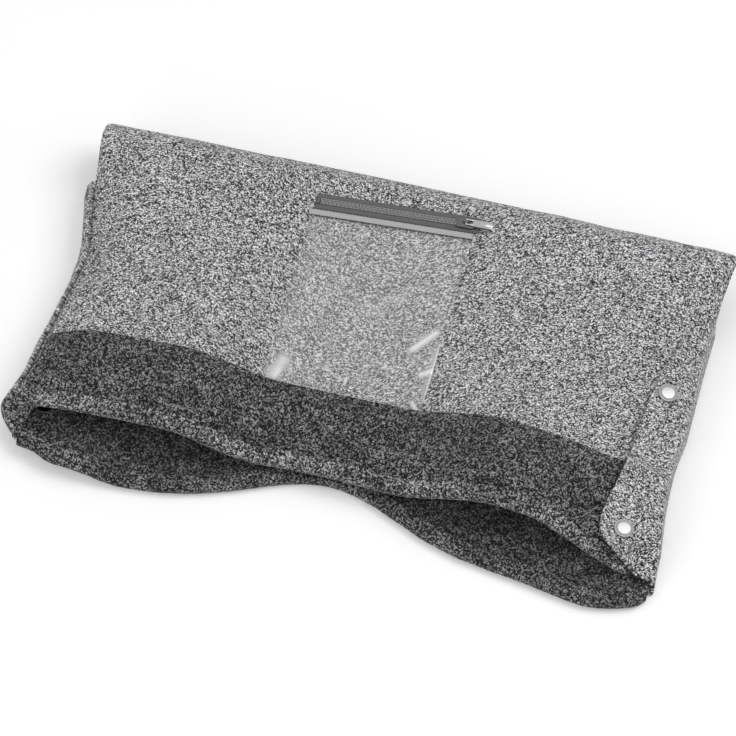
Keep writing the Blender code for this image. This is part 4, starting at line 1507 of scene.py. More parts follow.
@dataclass
class RimRoll(Maker):
    """The rolled plush edge round one rim of the mouth."""

    which: Rim
    columns: int = 330
    fluff: float = 0.00035
    ends: tuple[float, float] = (0.0060, 0.0)
    back_ends: tuple[float, float] = (0.005, 0.001)

    def section(self, x: float) -> tuple[Array, Array]:
        """Inner face of the roll at one place, and the way out of it.

        Args:
            x: Where along the rim.

        Returns:
            The points and their outward normals.
        """
        form, which = self.form, self.which
        rim = form.rim(which, x)
        edge, inner = (np.array([x, y, form.height(which, x, y)]) for y in (rim, rim + form.rim_inset))
        along = (edge - inner) / np.linalg.norm(edge - inner)
        _, normal = form.face(which, x, rim + 0.001)
        radius = form.sheet_edge / 2 + form.clear
        middle = edge - normal * (form.sheet_edge / 2)
        points, outs = [], []
        for share in (1.0, 0.75, 0.5, 0.25):
            points.append(edge - along * form.binding_leg * share + normal * form.clear)
            outs.append(normal)
        for turn in np.linspace(0.0, math.pi, 12):
            out = normal * math.cos(turn) + along * math.sin(turn)
            points.append(middle + out * radius)
            outs.append(out)
        grow = (form.wadding_edge + form.gap) / form.rim_inset * form.binding_leg
        for share in (0.25, 0.5, 0.75, 1.0):
            below = form.sheet_edge + form.clear + grow * share
            points.append(edge - along * form.binding_leg * share - normal * below)
            outs.append(-normal)
        return np.array(points), np.array(outs)

    def build(self) -> None:
        """Builds the roll with its fluffy surface."""
        form, name = self.form, self.which.value
        left_short, right_short = self.back_ends if self.which is Rim.BACK else self.ends
        xs = np.linspace(-form.half_width + left_short, form.half_width - right_short, self.columns)
        inner, outs = (np.array(part) for part in zip(*(self.section(float(x)) for x in xs)))
        tufts = soft_noise(inner, 0.0030, 21.0) * self.fluff + soft_noise(inner, 0.016, 2.0) * self.fluff
        outer = inner + outs * (form.binding + tufts)[..., None]
        front = 1.0 if self.which is Rim.FRONT else 0.0
        inner, outer = self.draw.moved(inner, front), self.draw.moved(outer, front)
        across = run_length(inner, 1)
        coat = np.stack([np.broadcast_to(xs[:, None], across.shape), across], axis=2)
        # On the front rim the finish is painted lighter, standing in for light on the roll's shaded edge.
        finish = self.wardrobe.rims[self.which]
        piece = Piece(f"{name}_rim_roll", "muff", Slot.PLUSH, finish, (f"{name}_rim_binding",))
        roll = piece.build(shell_bmesh(outer, inner, coat, 0.0006))


@dataclass
class Cuff(Maker):
    """The plush band turned up over the front."""

    columns: int = 300
    rows: int = 44
    left_short: float = 0.0085
    right_short: float = 0.0075
    creases: tuple[Crease, ...] = (
        Crease((0.036, -0.062), (0.036, -0.094), 0.0011, 0.0022),
        Crease((-0.068, -0.050), (-0.066, -0.076), 0.0006, 0.0040),
        Crease((0.130, -0.085), (0.150, -0.110), 0.0006, 0.0050),
        Crease((-0.170, -0.065), (-0.150, -0.092), 0.0005, 0.0050),
    )

    def build(self) -> None:
        """Builds the cuff with a brushed nap."""
        form = self.form
        left, right = form.half_width - self.left_short, form.half_width - self.right_short
        xs = np.linspace(-left, right, self.columns)
        seam = form.rim(Rim.FRONT, xs) + form.binding_leg + form.gap
        top = form.cuff_top(xs)
        y = seam + (top - seam) * even_ease(self.rows)[:, None]
        x = np.broadcast_to(xs, y.shape)
        low, high = form.cuff_rise(y - seam, top - y)
        face, normal = form.face(Rim.FRONT, x, y)
        nap = soft_noise(face, 0.0032, 31.0) * 0.00022 + soft_noise(face, 0.012, 17.0) * 0.00035
        nap += np.maximum(soft_noise(face, 0.045, 1.3), 0.0) * 0.0010
        for crease in self.creases:
            nap -= crease.at(x, y)
        nap *= 0.35 + 0.65 * ease(np.minimum(y - seam, top - y) / 0.006)
        outer = self.draw.moved(face + normal * (high + nap)[..., None], 1.0)
        inner = self.draw.moved(face + normal * low[..., None], 1.0)
        bm = shell_bmesh(outer, inner, np.stack([x, y], axis=2), 0.0009, 3)
        cuff = Piece("cuff_band", "muff", Slot.PLUSH, self.wardrobe.cuff, ("front_cuff",)).build(bm)


# Side flaps


@dataclass
class SideFlap(Maker):
    """A felt flap that closes one side, with its turned edge."""

    side: Side
    shorter: float = 0.0825
    left_top_cut: float = 0.0045
    left_foot_cut: float = 0.0255
    right_foot_cut: float = 0.0020
    foot_sag: float = 0.0150
    foot_point: float = 0.62
    edge_lift: float = 0.0014
    slack: float = 0.28
    right_bend: Table = ((0.2555, 0.0, 0.0), (0.2265, 0.0, 0.0))
    left_bend: Table = ((-0.246, 0.0, 0.0300), (-0.246, 0.0, 0.0170))
    corner_size: tuple[float, float] = (0.026, 0.036)
    corner_mouth: Table = (
        (-0.2230, -0.1045, 0.0320), (-0.2275, -0.1075, 0.0275), (-0.2330, -0.1110, 0.0240),
        (-0.2345, -0.1165, 0.0180), (-0.2400, -0.1222, 0.0120), (-0.2395, -0.1285, 0.0080),
    )
    corner_outside: Table = (
        (-0.2505, -0.1010, 0.0295), (-0.2545, -0.1080, 0.0285), (-0.2565, -0.1135, 0.0255),
        (-0.2530, -0.1205, 0.0195), (-0.2458, -0.1256, 0.0130), (-0.2385, -0.1280, 0.0090),
    )
    corner_rows: int = 44
    rows: int = 120
    across: int = 30
    outline: Table = (
        (0.000, 0.0040), (0.029, 0.0105), (0.053, 0.0150), (0.099, 0.0215), (0.148, 0.0270),
        (0.218, 0.0315), (0.288, 0.0355), (0.379, 0.0385), (0.481, 0.0400), (0.593, 0.0412),
        (0.646, 0.0420), (0.708, 0.0435), (0.790, 0.0470), (0.852, 0.0485), (0.893, 0.0475),
        (0.922, 0.0435), (0.942, 0.0380), (0.963, 0.0295), (0.979, 0.0195), (1.000, 0.0040),
    )

    @property
    def length(self) -> float:
        """Length of the flap along the side."""
        return self.form.depth - self.shorter

    @property
    def top(self) -> float:
        """Y of the flap's upper end."""
        return self.form.fold_y - (0.0355 if self.side is Side.RIGHT else 0.0275)

    def base(self, across: Array, y: float) -> Array:
        """Height of what the flap lies on, for a flap that rises from its root.

        Args:
            across: Distance from the middle of each place.
            y: Where along the side.

        Returns:
            The heights.
        """
        form, y = self.form, np.full_like(across, y)
        if self.side is Side.RIGHT:
            return form.front_height(across, y) + form.cuff_cover(across, y)
        return form.edge_height - form.back_height(-across, y)

    def section(self, y: float, reach: float, down: float) -> Array:
        """Inner face at one place along the flap: from its root round the side to its free edge.

        Args:
            y: Where along the side.
            reach: How far the flap reaches in.
            down: Share of the way to the foot, where the right flap ends in a point.

        Returns:
            Points of (distance from the middle, height) at even steps.
        """
        form = self.form
        root_z = (0.001 if self.side is Side.RIGHT else 0.0) + form.flap
        corner = form.half_width - 0.010
        side = form.half_width + form.flap_bulge - form.flap
        root, middle, bend = form.half_width + 0.0017, root_z + 0.014, 2 / 3.0
        turns = np.linspace(-math.pi / 2, 0.0, 8)[:-1]
        out, fall = np.abs(np.cos(turns)) ** bend, np.abs(np.sin(turns)) ** bend
        lower = np.stack([root + (side - root) * out, middle - (middle - root_z) * fall], axis=1)
        if self.side is Side.LEFT:
            tuck = np.array([(-0.0016, -0.0022), (-0.0002, -0.0014), (0.0011, 0.0)])
            lower = np.vstack([tuck + (form.half_width, 0.0), lower])
        turns = np.linspace(0.0, math.pi / 2, 48)
        out, rise = np.abs(np.cos(turns)) ** bend, np.abs(np.sin(turns)) ** bend
        across = corner + (side - corner) * out
        top = self.base(np.minimum(across, form.half_width), y) + form.flap_standoff
        inward = np.linspace(corner, form.half_width - 0.050, 60)[1:]
        upper = np.vstack([
            np.stack([across, middle + (top - middle) * rise], axis=1),
            np.stack([inward, self.base(inward, y) + form.flap_standoff], axis=1),
        ])
        kept = upper[upper[:, 0] >= form.half_width + form.flap_bulge - reach]
        line = np.vstack([lower, kept])
        length = run_length(line)
        point = self.foot_point * ease((down - 0.962) / 0.040) if self.side is Side.RIGHT else 0.0
        return sampled(line, length, np.linspace(0.0, length[-1] * (1.0 - point), self.across))

    def hug(self, across: Array, y: float) -> Array:
        """Distance from the middle once the flap is pulled close round the drawn-in edge.

        Args:
            across: Distance from the middle of the loose flap.
            y: Where along the side.

        Returns:
            The distance of the pulled flap.
        """
        half, slack, front = self.form.half_width, self.slack, 0.0
        if self.side is Side.LEFT:
            slack += 0.62 * ease((-0.085 - y) / 0.045) + 0.52 * ease(y / 0.030)
            front = 1.0
        close = np.where(across > half, half + (across - half) * slack, across)
        drawn = self.draw.edge(self.side, np.full_like(across, y), np.full_like(across, front))
        return close - drawn * self.draw.fade(self.side, across)

    def inner_face(self) -> Array:
        """Points of the inner face by row and column, at rest.

        Returns:
            Points, from the upper end to the foot.
        """
        start, foot = self.top, self.top - self.length
        if self.side is Side.LEFT:
            start, foot = start - self.left_top_cut, foot + self.left_foot_cut
        else:
            foot += self.right_foot_cut
        rows = []
        for share in even_ease(self.rows):
            y = start + (foot - start) * share
            loose, height = self.section(y, float(read_off(self.outline, share)), share).T
            across = self.hug(loose, y)
            if self.side is Side.RIGHT:
                sag = self.foot_sag * ease((-0.108 - y) / 0.026) * ease((across - 0.222) / 0.016)
                height = height - sag * ease(height / 0.020)
            else:
                height = self.form.edge_height - height
            rows.append(np.stack([across * self.side.value, np.full_like(across, y), height], axis=1))
        return np.array(rows)

    def build(self) -> None:
        """Builds the flap."""
        inner = self.inner_face()
        normals = -outward_normals(inner)
        soft = soft_noise(inner, 0.030, 9.0) * 0.0004
        from_root = np.arange(inner.shape[1])
        from_edge = from_root[::-1]
        if self.side is Side.RIGHT:
            before_foot = 1.0 - ease(np.linspace(-9.0, 2.0, len(inner)))
            lift = before_foot[:, None] * (self.edge_lift * hump(from_edge / 3.0))
            inner = inner + normals * lift[..., None]
        thickness = self.form.flap + soft * ease(np.minimum(from_root, from_edge) / 5)
        outer = inner + normals * (thickness + hump(from_edge / 1.6) * 0.0003)[..., None]
        u = run_length(inner, 1)
        coat = np.stack([u, inner[..., 1]], axis=2)
        label = self.side.name.lower()
        body = f"{label}_flap_body"
        bend = self.right_bend if self.side is Side.RIGHT else self.left_bend
        if self.side is Side.LEFT:
            self.build_corner(body, bend)
        flap = Piece(f"{label}_side_flap", body, Slot.FELT, self.wardrobe.flap_felt, (f"{label}_flap",), bend)
        obj = flap.build(shell_bmesh(outer, inner, coat, 0.0006))

    def build_corner(self, body: str, bend: Table) -> None:
        """Builds the plush of the left flap's foot, turned out round the corner of the mouth.

        Args:
            body: The flap's body.
            bend: Where the fabric bends between the bodies.
        """
        wide, long = self.corner_size
        mouth = smooth_line(self.corner_mouth, self.corner_rows)[:, None]
        outside = smooth_line(self.corner_outside, self.corner_rows)[:, None]
        share = np.linspace(0.0, 1.0, 26)[None, :, None]
        flat = mouth + (outside - mouth) * share
        rolls = hump((share - 0.10) / 0.11) + hump((share - 0.88) / 0.11)
        rise = 0.0030 * np.sin(share * math.pi) + 0.0017 * rolls
        fluff = soft_noise(flat, 0.0030, 21.0) * 0.0004 + soft_noise(flat, 0.009, 6.0) * 0.0006
        rise = rise + fluff[..., None]
        normals = -outward_normals(flat)
        down = np.linspace(0.0, long, self.corner_rows)[:, None]
        coat = np.stack(np.broadcast_arrays(share[..., 0] * wide, down), axis=2)
        wrap = shell_bmesh(flat + normals * rise, flat + normals * (rise - 0.0032), coat, 0.0009, 3)
        # The front rim's plush, painted lighter to stand in for light on this shaded turned-out corner.
        finish = self.wardrobe.rims[Rim.FRONT]
        obj = Piece("left_corner_plush", body, Slot.PLUSH, finish, (), bend).build(wrap)


# Press studs


def stepped(radius: float, height: float, steps: Table) -> list[tuple[float, float]]:
    """Points of a turned profile by their offsets from one of its points."""
    return [(radius + out, height + up) for out, up in steps]


@dataclass
class PressStuds(Maker):
    """Five sets of cap, socket, stud and back ring."""

    cap_radius: float = 0.0075
    cap_height: float = 0.0017
    cap_edge: float = 0.0009
    socket_radius: float = 0.0060
    socket_height: float = 0.0022
    socket_mouth: float = 0.0047
    ring_radius: float = 0.00525
    post_radius: float = 0.0016
    bore: float = 0.0019
    in_from_edge: float = 0.0210
    lower_inward: float = 0.0045
    upper_from_top: float = 0.0820
    lower_from_foot: float = 0.0325
    stud_seat: float = 0.0008
    cap_seat: float = 0.0005
    socket_seat: float = 0.0005
    centre_seat: float = 0.0008
    post_end: float = 0.0005
    cap_rim: Table = (
        (-0.0007, 0.0), (-0.0002, 0.0001), (0.0, 0.0004), (0.0, 0.0008), (-0.0003, 0.0012),
        (-0.0007, 0.0012), (-0.0010, 0.0006), (-0.0014, 0.0006),
    )
    stud_rim: Table = ((-0.0003, 0.0), (0.0, 0.0002), (0.0, 0.0005), (-0.0003, 0.0007))
    stud_head: Table = (
        (0.0026, 0.0007), (0.0023, 0.0010), (0.0024, 0.0014), (0.0022, 0.0018), (0.0017, 0.0020),
        (0.0, 0.0020), (0.0, 0.0012), (0.0019, 0.0012),
    )
    ring_hollow: Table = ((0.0, -0.0005), (0.0030, -0.0005), (0.0034, -0.0008))
    ring_rim: Table = ((-0.0004, -0.0008), (-0.0001, -0.0006), (0.0, -0.0003), (-0.0003, 0.0))

    def cap(self, seat: float, foot: float) -> Mesh:
        """The domed cap with its rolled edge and its post.

        Args:
            seat: Height of its underside.
            foot: Height of the post's end.

        Returns:
            The cap.
        """
        r, low, rise = self.cap_radius, seat + self.cap_edge, self.cap_height - self.cap_edge
        dome = [(r * math.cos(t), low + rise * math.sin(t)) for t in np.linspace(0.35, 1.4, 9)]
        profile = [(0.0, foot), (self.post_radius, foot), (self.post_radius, seat)]
        profile += stepped(r, seat, self.cap_rim)
        profile += [(radius, height) for radius, height in dome if radius < r - 0.0016]
        return turned_bmesh(profile + [(0.0, seat + self.cap_height)])

    def socket(self, top: float) -> Mesh:
        """The female ring.

        Args:
            top: Height of its upper face.

        Returns:
            The socket.
        """
        low, mouth, r = top - self.socket_height, self.socket_mouth, self.socket_radius
        ceiling = low + 0.0015
        profile = [(mouth, low + 0.0002), (mouth + 0.0002, low)]
        profile += stepped(r, low, ((-0.0005, 0.0), (-0.0001, 0.0002), (0.0, 0.0005)))
        profile += stepped(r, top, ((0.0, -0.0005), (-0.0002, -0.0001), (-0.0006, 0.0)))
        profile += [(self.bore, top), (self.bore, ceiling), (mouth - 0.0001, ceiling)]
        return turned_bmesh(profile)

    def stud(self, seat: float) -> Mesh:
        """The male half, with a short rounded head."""
        profile = stepped(self.ring_radius, seat, self.stud_rim) + stepped(0.0, seat, self.stud_head)
        return turned_bmesh([(self.bore, seat)] + profile)

    def ring(self, depth: float, top: float) -> Mesh:
        """The back ring on the lining, with its post."""
        profile = stepped(0.0, -depth, self.ring_hollow) + stepped(self.ring_radius, -depth, self.ring_rim)
        return turned_bmesh(profile + [(self.post_radius, -depth), (self.post_radius, top), (0.0, top)])

    def frame_at(self, which: Rim, x: float, y: float, cover: float = 0.0) -> tuple[Matrix, Vector]:
        """A frame on a panel's outer face, Z along its normal.

        Args:
            which: The front or the back panel.
            x: X of the stud.
            y: Y of the stud.
            cover: How far over the face it sits.

        Returns:
            The frame and the normal.
        """
        place, normal = (Vector(part) for part in self.form.face(which, x, y))
        turn = normal.to_track_quat("Z", "Y").to_matrix().to_4x4()
        return Matrix.Translation(place + normal * cover) @ turn, normal

    def add(self, node: str, body: str, bm: Mesh, where: Matrix) -> None:
        """Makes one turned piece in its frame."""
        finish = self.wardrobe.ring if node.endswith("_ring") else self.wardrobe.stud
        Piece(f"turned_{node}", body, Slot.STUD, finish, (node,)).build(bm, where)

    def build_side(self, flap: SideFlap) -> None:
        """Builds a flap's two sets.

        Args:
            flap: The flap that they hold.
        """
        form, side = self.form, flap.side
        which = Rim.BACK if side is Side.LEFT else Rim.FRONT
        places = (flap.top - self.upper_from_top, flap.top - flap.length + self.lower_from_foot)
        for label, y in zip(("upper", "lower"), places):
            inward = self.lower_inward if side is Side.RIGHT and label == "lower" else 0.0
            x = side.value * (form.half_width - self.in_from_edge - inward)
            cover = float(form.cuff_cover(x, y)) if side is Side.RIGHT else 0.0
            where, normal = self.frame_at(which, x, y, cover)
            face = form.flap_standoff * abs(normal.z)
            name, body = f"{side.name.lower()}_{label}", f"{side.name.lower()}_flap_body"
            cap = self.cap(face + form.flap + self.cap_seat, face - self.socket_seat - self.post_end)
            self.add(f"{name}_cap", body, cap, where)
            self.add(f"{name}_socket", body, self.socket(face - self.socket_seat), where)
            self.add(f"{name}_stud", "muff", self.stud(self.stud_seat), where)
            depth = form.sandwich(which, x, y) + cover + self.stud_seat
            self.add(f"{name}_ring", "muff", self.ring(depth, self.stud_seat + 0.0009), where)

    def build_centre(self) -> None:
        """Builds the hidden set that pinches the mouth."""
        form = self.form
        front, back = (self.frame_at(which, form.pinch_x, form.centre_stud_y)[0] for which in Rim)
        front_face, back_face = (form.centre_fabric(which) + self.centre_seat for which in Rim)
        flipped = back @ Matrix.Rotation(math.pi, 4, "X")
        self.add("centre_cap", "muff", self.cap(form.gap + 0.0003, -front_face - self.post_end), front)
        self.add("centre_socket", "muff", self.socket(-front_face), front)
        self.add("centre_stud", "muff", self.stud(back_face), flipped)
        self.add("centre_ring", "muff", self.ring(self.centre_seat, back_face + 0.0009), flipped)


# Phone pocket


@dataclass
class PhonePocket(Maker):
    """The clear window, its hem strip and the zip above it."""

    centre: float = -0.011
    width: float = 0.126
    length: float = 0.1735
    window: float = 0.0005
    window_lift: float = 0.0005
    hem_width: float = 0.0051
    from_fold: float = 0.0140
    skew: float = math.radians(3.4)
    half_tape: float = 0.0068
    half_slot: float = 0.0026
    pitch: float = 0.0030
    tooth: float = 0.0016
    tooth_low: float = 0.0013
    slider_length: float = 0.0135
    bridge: float = 0.0012
    pull_length: float = 0.0205
    pull_rest: float = math.radians(-3.0)
    # Creases of the sheet: each raises a ripple, and its depth is also the strength of a painted white glare
    # streak along it.
    ripples_and_glare: tuple[Crease, ...] = (
        Crease((0.0298, 0.0066), (0.0462, 0.0273), 0.80, 0.0023),
        Crease((0.0410, -0.0126), (0.0524, -0.0057), 0.75, 0.0020),
        Crease((0.0500, 0.0130), (0.0515, -0.0342), 0.42, 0.0030),
        Crease((0.0415, -0.0354), (0.0482, -0.0433), 0.65, 0.0017),
        Crease((-0.0660, -0.0413), (-0.0600, -0.0200), 0.52, 0.0042),
        Crease((0.0120, -0.0130), (0.0165, -0.0105), 0.60, 0.0010),
        Crease((-0.0100, 0.0300), (0.0180, 0.0560), 0.10, 0.0050),
    )

    @property
    def left(self) -> float:
        """X of the pocket's left side."""
        return self.centre - self.width / 2

    @property
    def right(self) -> float:
        """X of the pocket's right side."""
        return self.centre + self.width / 2

    @property
    def zip_y(self) -> float:
        """Y of the zip's middle line."""
        return self.form.fold_y - self.from_fold

    @property
    def zip_frame(self) -> Matrix:
        """Frame on the front panel at the zip: X along it, Y up the panel, Z out of it.

        Returns:
            The frame.
        """
        middle = Matrix.Translation((self.centre, self.zip_y, float(self.form.front_plane(self.zip_y))))
        turn = Matrix.Rotation(self.form.tilt, 4, "X") @ Matrix.Rotation(self.skew, 4, "Z")
        return middle @ turn @ Matrix.Translation((-self.centre, 0.0, 0.0))

    def build_window(self) -> None:
        """Builds the clear sheet with its welded border and soft ripples."""
        xs = np.linspace(self.left + 0.001, self.right - 0.001, 108)
        top = self.zip_y - self.half_tape - self.hem_width + 0.0010 + math.tan(self.skew) * (xs - self.centre)
        foot = np.full_like(xs, self.zip_y - self.length)
        y = foot + (top - foot) * np.linspace(0.0, 1.0, 136)[:, None]
        x = np.broadcast_to(xs, y.shape)
        face, normal = self.form.face(Rim.FRONT, x, y)
        beside = np.minimum(x - xs[0], xs[-1] - x)
        inside = np.minimum(np.minimum(beside, y - foot), top - y)
        ripple = np.maximum(soft_noise(face, 0.022, 4.0), -0.2) * 0.0007
        ripple += ease((0.02 - y) / 0.06) * np.maximum(soft_noise(face, 0.011, 8.0), 0.0) * 0.0008
        ripple += sum(wrinkle.at(x, y) for wrinkle in self.ripples_and_glare) * 0.0009
        weld = 0.00025 * hump((inside - 0.0022) / 0.0008)
        lift = self.window_lift + np.maximum(ripple, 0.0) * ease(inside / 0.006) + weld
        inner = face + normal * lift[..., None]
        bm = shell_bmesh(inner + normal * self.window, inner, np.stack([x, y], axis=2), 0.00012, 1)
        obj = Piece("window_sheet", "muff", Slot.VINYL, self.wardrobe.vinyl, ("pocket_window",)).build(bm)
        places = np.empty(len(obj.data.vertices) * 3, np.float32)
        obj.data.vertices.foreach_get("co", places)
        # Painted highlight: the strength of the glare streaks along the creases, kept on the sheet's points.
        white = sum(wrinkle.at(places[0::3], places[1::3]) for wrinkle in self.ripples_and_glare)
        obj.data.attributes.new("crease_white", "FLOAT", "POINT").data.foreach_set("value", white)

    def strip(self, low: Sequence[float], high: Sequence[float], crown: float) -> Mesh:
        """A narrow ribbon along X with a soft crown and wavy edges.

        Args:
            low: Its lowest corner.
            high: Its highest corner.
            crown: How far the middle rises.

        Returns:
            The ribbon.
        """
        xs = np.linspace(low[0], high[0], 72)
        share = np.linspace(0.0, 1.0, 9)[:, None]
        y = high[1] + (low[1] - high[1]) * share + 0.0 * xs
        x = np.broadcast_to(xs, y.shape)
        wave = 0.00012 * np.sin(x * 900.0) * share
        z = high[2] + crown * np.sin(share * math.pi) + 0.00006 * np.sin(x * 700.0)
        outer, inner = (np.stack([x, y + wave, height], axis=2) for height in (z, np.full_like(z, low[2])))
        return shell_bmesh(outer, inner, np.stack([x, y], axis=2), 0.00015, 1)

    def build_tapes(self) -> None:
        """Builds the two tapes and the hem strip."""
        where, far, near, wardrobe = self.zip_frame, self.half_tape, self.half_slot, self.wardrobe
        left, right = self.left + 0.002, self.right + 0.002
        for label, low, high in (("upper", near, far), ("lower", -far, -near)):
            bm = self.strip((left, low, 0.0014), (right, high, 0.0019), 0.00008)
            Piece(f"{label}_tape", "muff", Slot.TAPE, wardrobe.tape, (f"zip_tape_{label}",)).build(bm, where)
        left, right, high = left - 0.0035, right - 0.0035, -far - 0.0003
        bm = self.strip((left, high - self.hem_width, 0.0013), (right, high, 0.0021), 0.0003)
        Piece("hem_ribbon", "muff", Slot.HEM, wardrobe.hem, ("window_hem",)).build(bm, where)

    def build_teeth(self) -> None:
        """Builds the two meshing rows: each tooth with its shank on a corded spine."""
        left, right = self.left + 0.005, self.right - 0.0015
        low, wide = self.tooth_low, self.pitch / 2 - 0.0003
        for label, side, shift in (("upper", 1, 0.0004), ("lower", -1, 0.0004 + self.pitch / 2)):
            count = int((right - left - 2 * shift - wide) / self.pitch) + 1
            tooth = slab_bmesh((-wide / 2, -0.0011, 0.0), (wide / 2, 0.0020, self.tooth), 0.00028)
            head = [vert for vert in tooth.verts if vert.co.y < -0.0002]
            middle = Matrix.Translation((0, 0, -self.tooth / 2))
            bmesh.ops.scale(tooth, verts=head, vec=(0.86, 1.0, 0.92), space=middle)
            frames = np.tile(np.diag([side, side, 1.0, 1.0]), (count, 1, 1))
            frames[:, 0, 3] = left + shift + np.arange(count) * self.pitch + wide / 2
            frames[:, 2, 3] = low
            ends = sorted((0.0016 * side, 0.0023 * side))
            spine = slab_bmesh((left, ends[0], low), (right, ends[1], low + self.tooth * 0.9), 0.0002)
            row = joined([scattered(tooth, frames), spine])
            piece = Piece(
                f"{label}_teeth", "muff", Slot.PLASTIC, self.wardrobe.plastic, (f"zip_teeth_{label}",)
            )
            piece.build(row, self.zip_frame)

    def build_slider(self) -> None:
        """Builds the slider with its rails and arched bridge, and the pull."""
        nose = self.right - 0.0022
        tail, middle, plate, top = nose - self.slider_length, nose - 0.0060, 0.0032, 0.0042
        origin = self.zip_frame @ Matrix.Translation((middle, 0.0, 0.0))
        half = [(tail, 0.0033), (tail + 0.0005, 0.0038), (nose - 0.0045, 0.0044), (nose - 0.0010, 0.0044)]
        half = [(x - middle, y) for x, y in half + [(nose, 0.0034)]]
        outline = [(x, -y) for x, y in half] + half[::-1]
        parts = [plate_bmesh(outline, plate, top, 0.00025)]
        for side in (1, -1):
            rail = half + [(nose - middle, 0.0031), (tail - middle, 0.0031)]
            rail = [(x, side * y) for x, y in rail][::-side]
            parts.append(plate_bmesh(rail, 0.0022, plate + 0.0002, 0.0001))
        arch = bmesh.new()
        centre = Vector((0.0, 0.0, top - 0.0002))
        turn = Matrix.Translation(centre + Vector((-0.0023, 0.0, 0.0)))
        bmesh.ops.create_circle(arch, cap_ends=True, segments=12, radius=0.0007, matrix=turn)
        swept(arch, arch.faces[:], centre, (0.0, 1.0, 0.0), math.pi, 14)
        slider = Piece("slider_body_piece", "slider_body", Slot.SLIDER, self.wardrobe.slider, ("zip_slider",))
        slider.build(joined([*parts, arch]), origin)

        raise_up = Matrix.Translation((0, 0, top + self.bridge))
        pivot = origin @ raise_up @ Matrix.Rotation(-self.pull_rest, 4, "Y")
        end, start = self.pull_length, 0.0052
        turns = np.linspace(math.pi, 0.0, 9)
        tip = [(end - 0.0022 + 0.0022 * math.sin(t), 0.0030 * math.cos(t)) for t in turns]
        badge = [(0.0075, -0.0016), (end - 0.0028, -0.0018), (end - 0.0020, 0.0), (end - 0.0028, 0.0018)]
        pull = joined([
            plate_bmesh([(start, -0.0028)] + tip + [(start, 0.0028)], -0.0005, 0.0005, 0.0002),
            plate_bmesh(badge + [(0.0075, 0.0016)], 0.0004, 0.0008, 0.0001),
            slab_bmesh((-0.0005, 0.0014, -0.0005), (0.0056, 0.0026, 0.0005), 0.0002),
            slab_bmesh((-0.0005, -0.0026, -0.0005), (0.0056, -0.0014, 0.0005), 0.0002),
            slab_bmesh((-0.0005, -0.0018, -0.0005), (0.0005, 0.0018, 0.0005), 0.0003),
        ])
        Piece("pull_tab", "pull_body", Slot.SLIDER, self.wardrobe.pull, ("zip_pull",)).build(pull, pivot)

    def build(self) -> None:
        """Builds the whole pocket, and gives the carried end pieces the slider's finish."""
        self.build_window()
        self.build_tapes()
        self.build_teeth()
        self.build_slider()
        for node in ("zip_stop_upper", "zip_stop_lower", "zip_bottom_stop", "slider_base"):
            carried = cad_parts[node]
            carried.data.materials.clear()
            carried.data.materials.append(self.wardrobe.slider)


# Seams


@dataclass
class Seams(Maker):
    """Rows of stitches along the sewn edges, and a dark cord painted as the hem strip's shadow."""

    side_in: float = 0.0052
    pocket_in: float = 0.0030

    def on_panel(
        self, which: Rim, x: float, ends: Sequence[float], over: float, pitch: float, points: int = 120
    ) -> Array:
        """Frames of stitches along a line up a panel.

        Args:
            which: The front or the back panel.
            x: X of the line.
            ends: Y of its two ends.
            over: Height over the panel's face.
            pitch: Length from stitch to stitch.
            points: How many points the line has.

        Returns:
            The frames.
        """
        y = np.linspace(*ends, points)
        face, normals = self.form.face(which, np.full_like(y, x), y)
        face = self.draw.moved(face + normals * over, 1.0 if which is Rim.FRONT else 0.0)
        return stitch_frames(face, normals, pitch)

    def add(
        self, name: str, finish: Material, slot: Slot, frames: list[Array], long: float, thick: float
    ) -> None:
        """Makes one piece of many stitches."""
        Piece(name, "muff", slot, finish).build(scattered(stitch_bmesh(long, thick), np.concatenate(frames)))

    def build(self, pocket: PhonePocket) -> None:
        """Builds the stitching of the felt, the pocket and the hem, and a dark cord that stands in for the
        hem strip's shadow.

        Args:
            pocket: The pocket whose sides are sewn.
        """
        form, half, rows = self.form, self.form.half_width, []
        end = form.fold_y - 0.002
        for side in (1, -1):
            x, edge = side * (half - self.side_in), side * half
            starts = (float(form.cuff_top(edge)) + 0.004, float(form.rim(Rim.BACK, edge)) + 0.012)
            for which, start in zip(Rim, starts):
                rows.append(self.on_panel(which, x, (start, end), 0.0, 0.0034))
        self.add("side_stitches", self.wardrobe.felt_thread, Slot.FELT, rows, 0.0024, 0.00055)
        rows = []
        top = pocket.zip_y - pocket.half_tape - pocket.hem_width
        for x, slope in ((pocket.left + self.pocket_in, -1), (pocket.right - self.pocket_in, 1)):
            ends = (float(form.cuff_top(x)) - 0.004, top + slope * 0.0036 - 0.001)
            rows.append(self.on_panel(Rim.FRONT, x, ends, 0.0013, 0.0030, 80))
        self.add("pocket_stitches", self.wardrobe.felt_thread, Slot.HEM, rows, 0.0021, 0.00055)
        rows = []
        zip_frame = np.array(pocket.zip_frame)
        # The first row stitches the hem. The second lies just outside the strip's lower edge, with stitches
        # as long as their pitch, and is a continuous dark cord that stands in for the strip's shadow line.
        for share, height in ((0.06, 0.0023), (1.10, 0.0018)):
            x = np.linspace(pocket.left, pocket.right - 0.002, 90)
            y = np.full_like(x, -pocket.half_tape - 0.0003 - pocket.hem_width * share)
            path = np.stack([x, y, np.full_like(x, height)], axis=1) @ zip_frame[:3, :3].T + zip_frame[:3, 3]
            rows.append(stitch_frames(path, np.broadcast_to(zip_frame[:3, 2], path.shape), 0.0026))
        self.add("hem_stitches_and_shadow_cord", self.wardrobe.plush_thread, Slot.HEM, rows, 0.0026, 0.0009)


# The studio


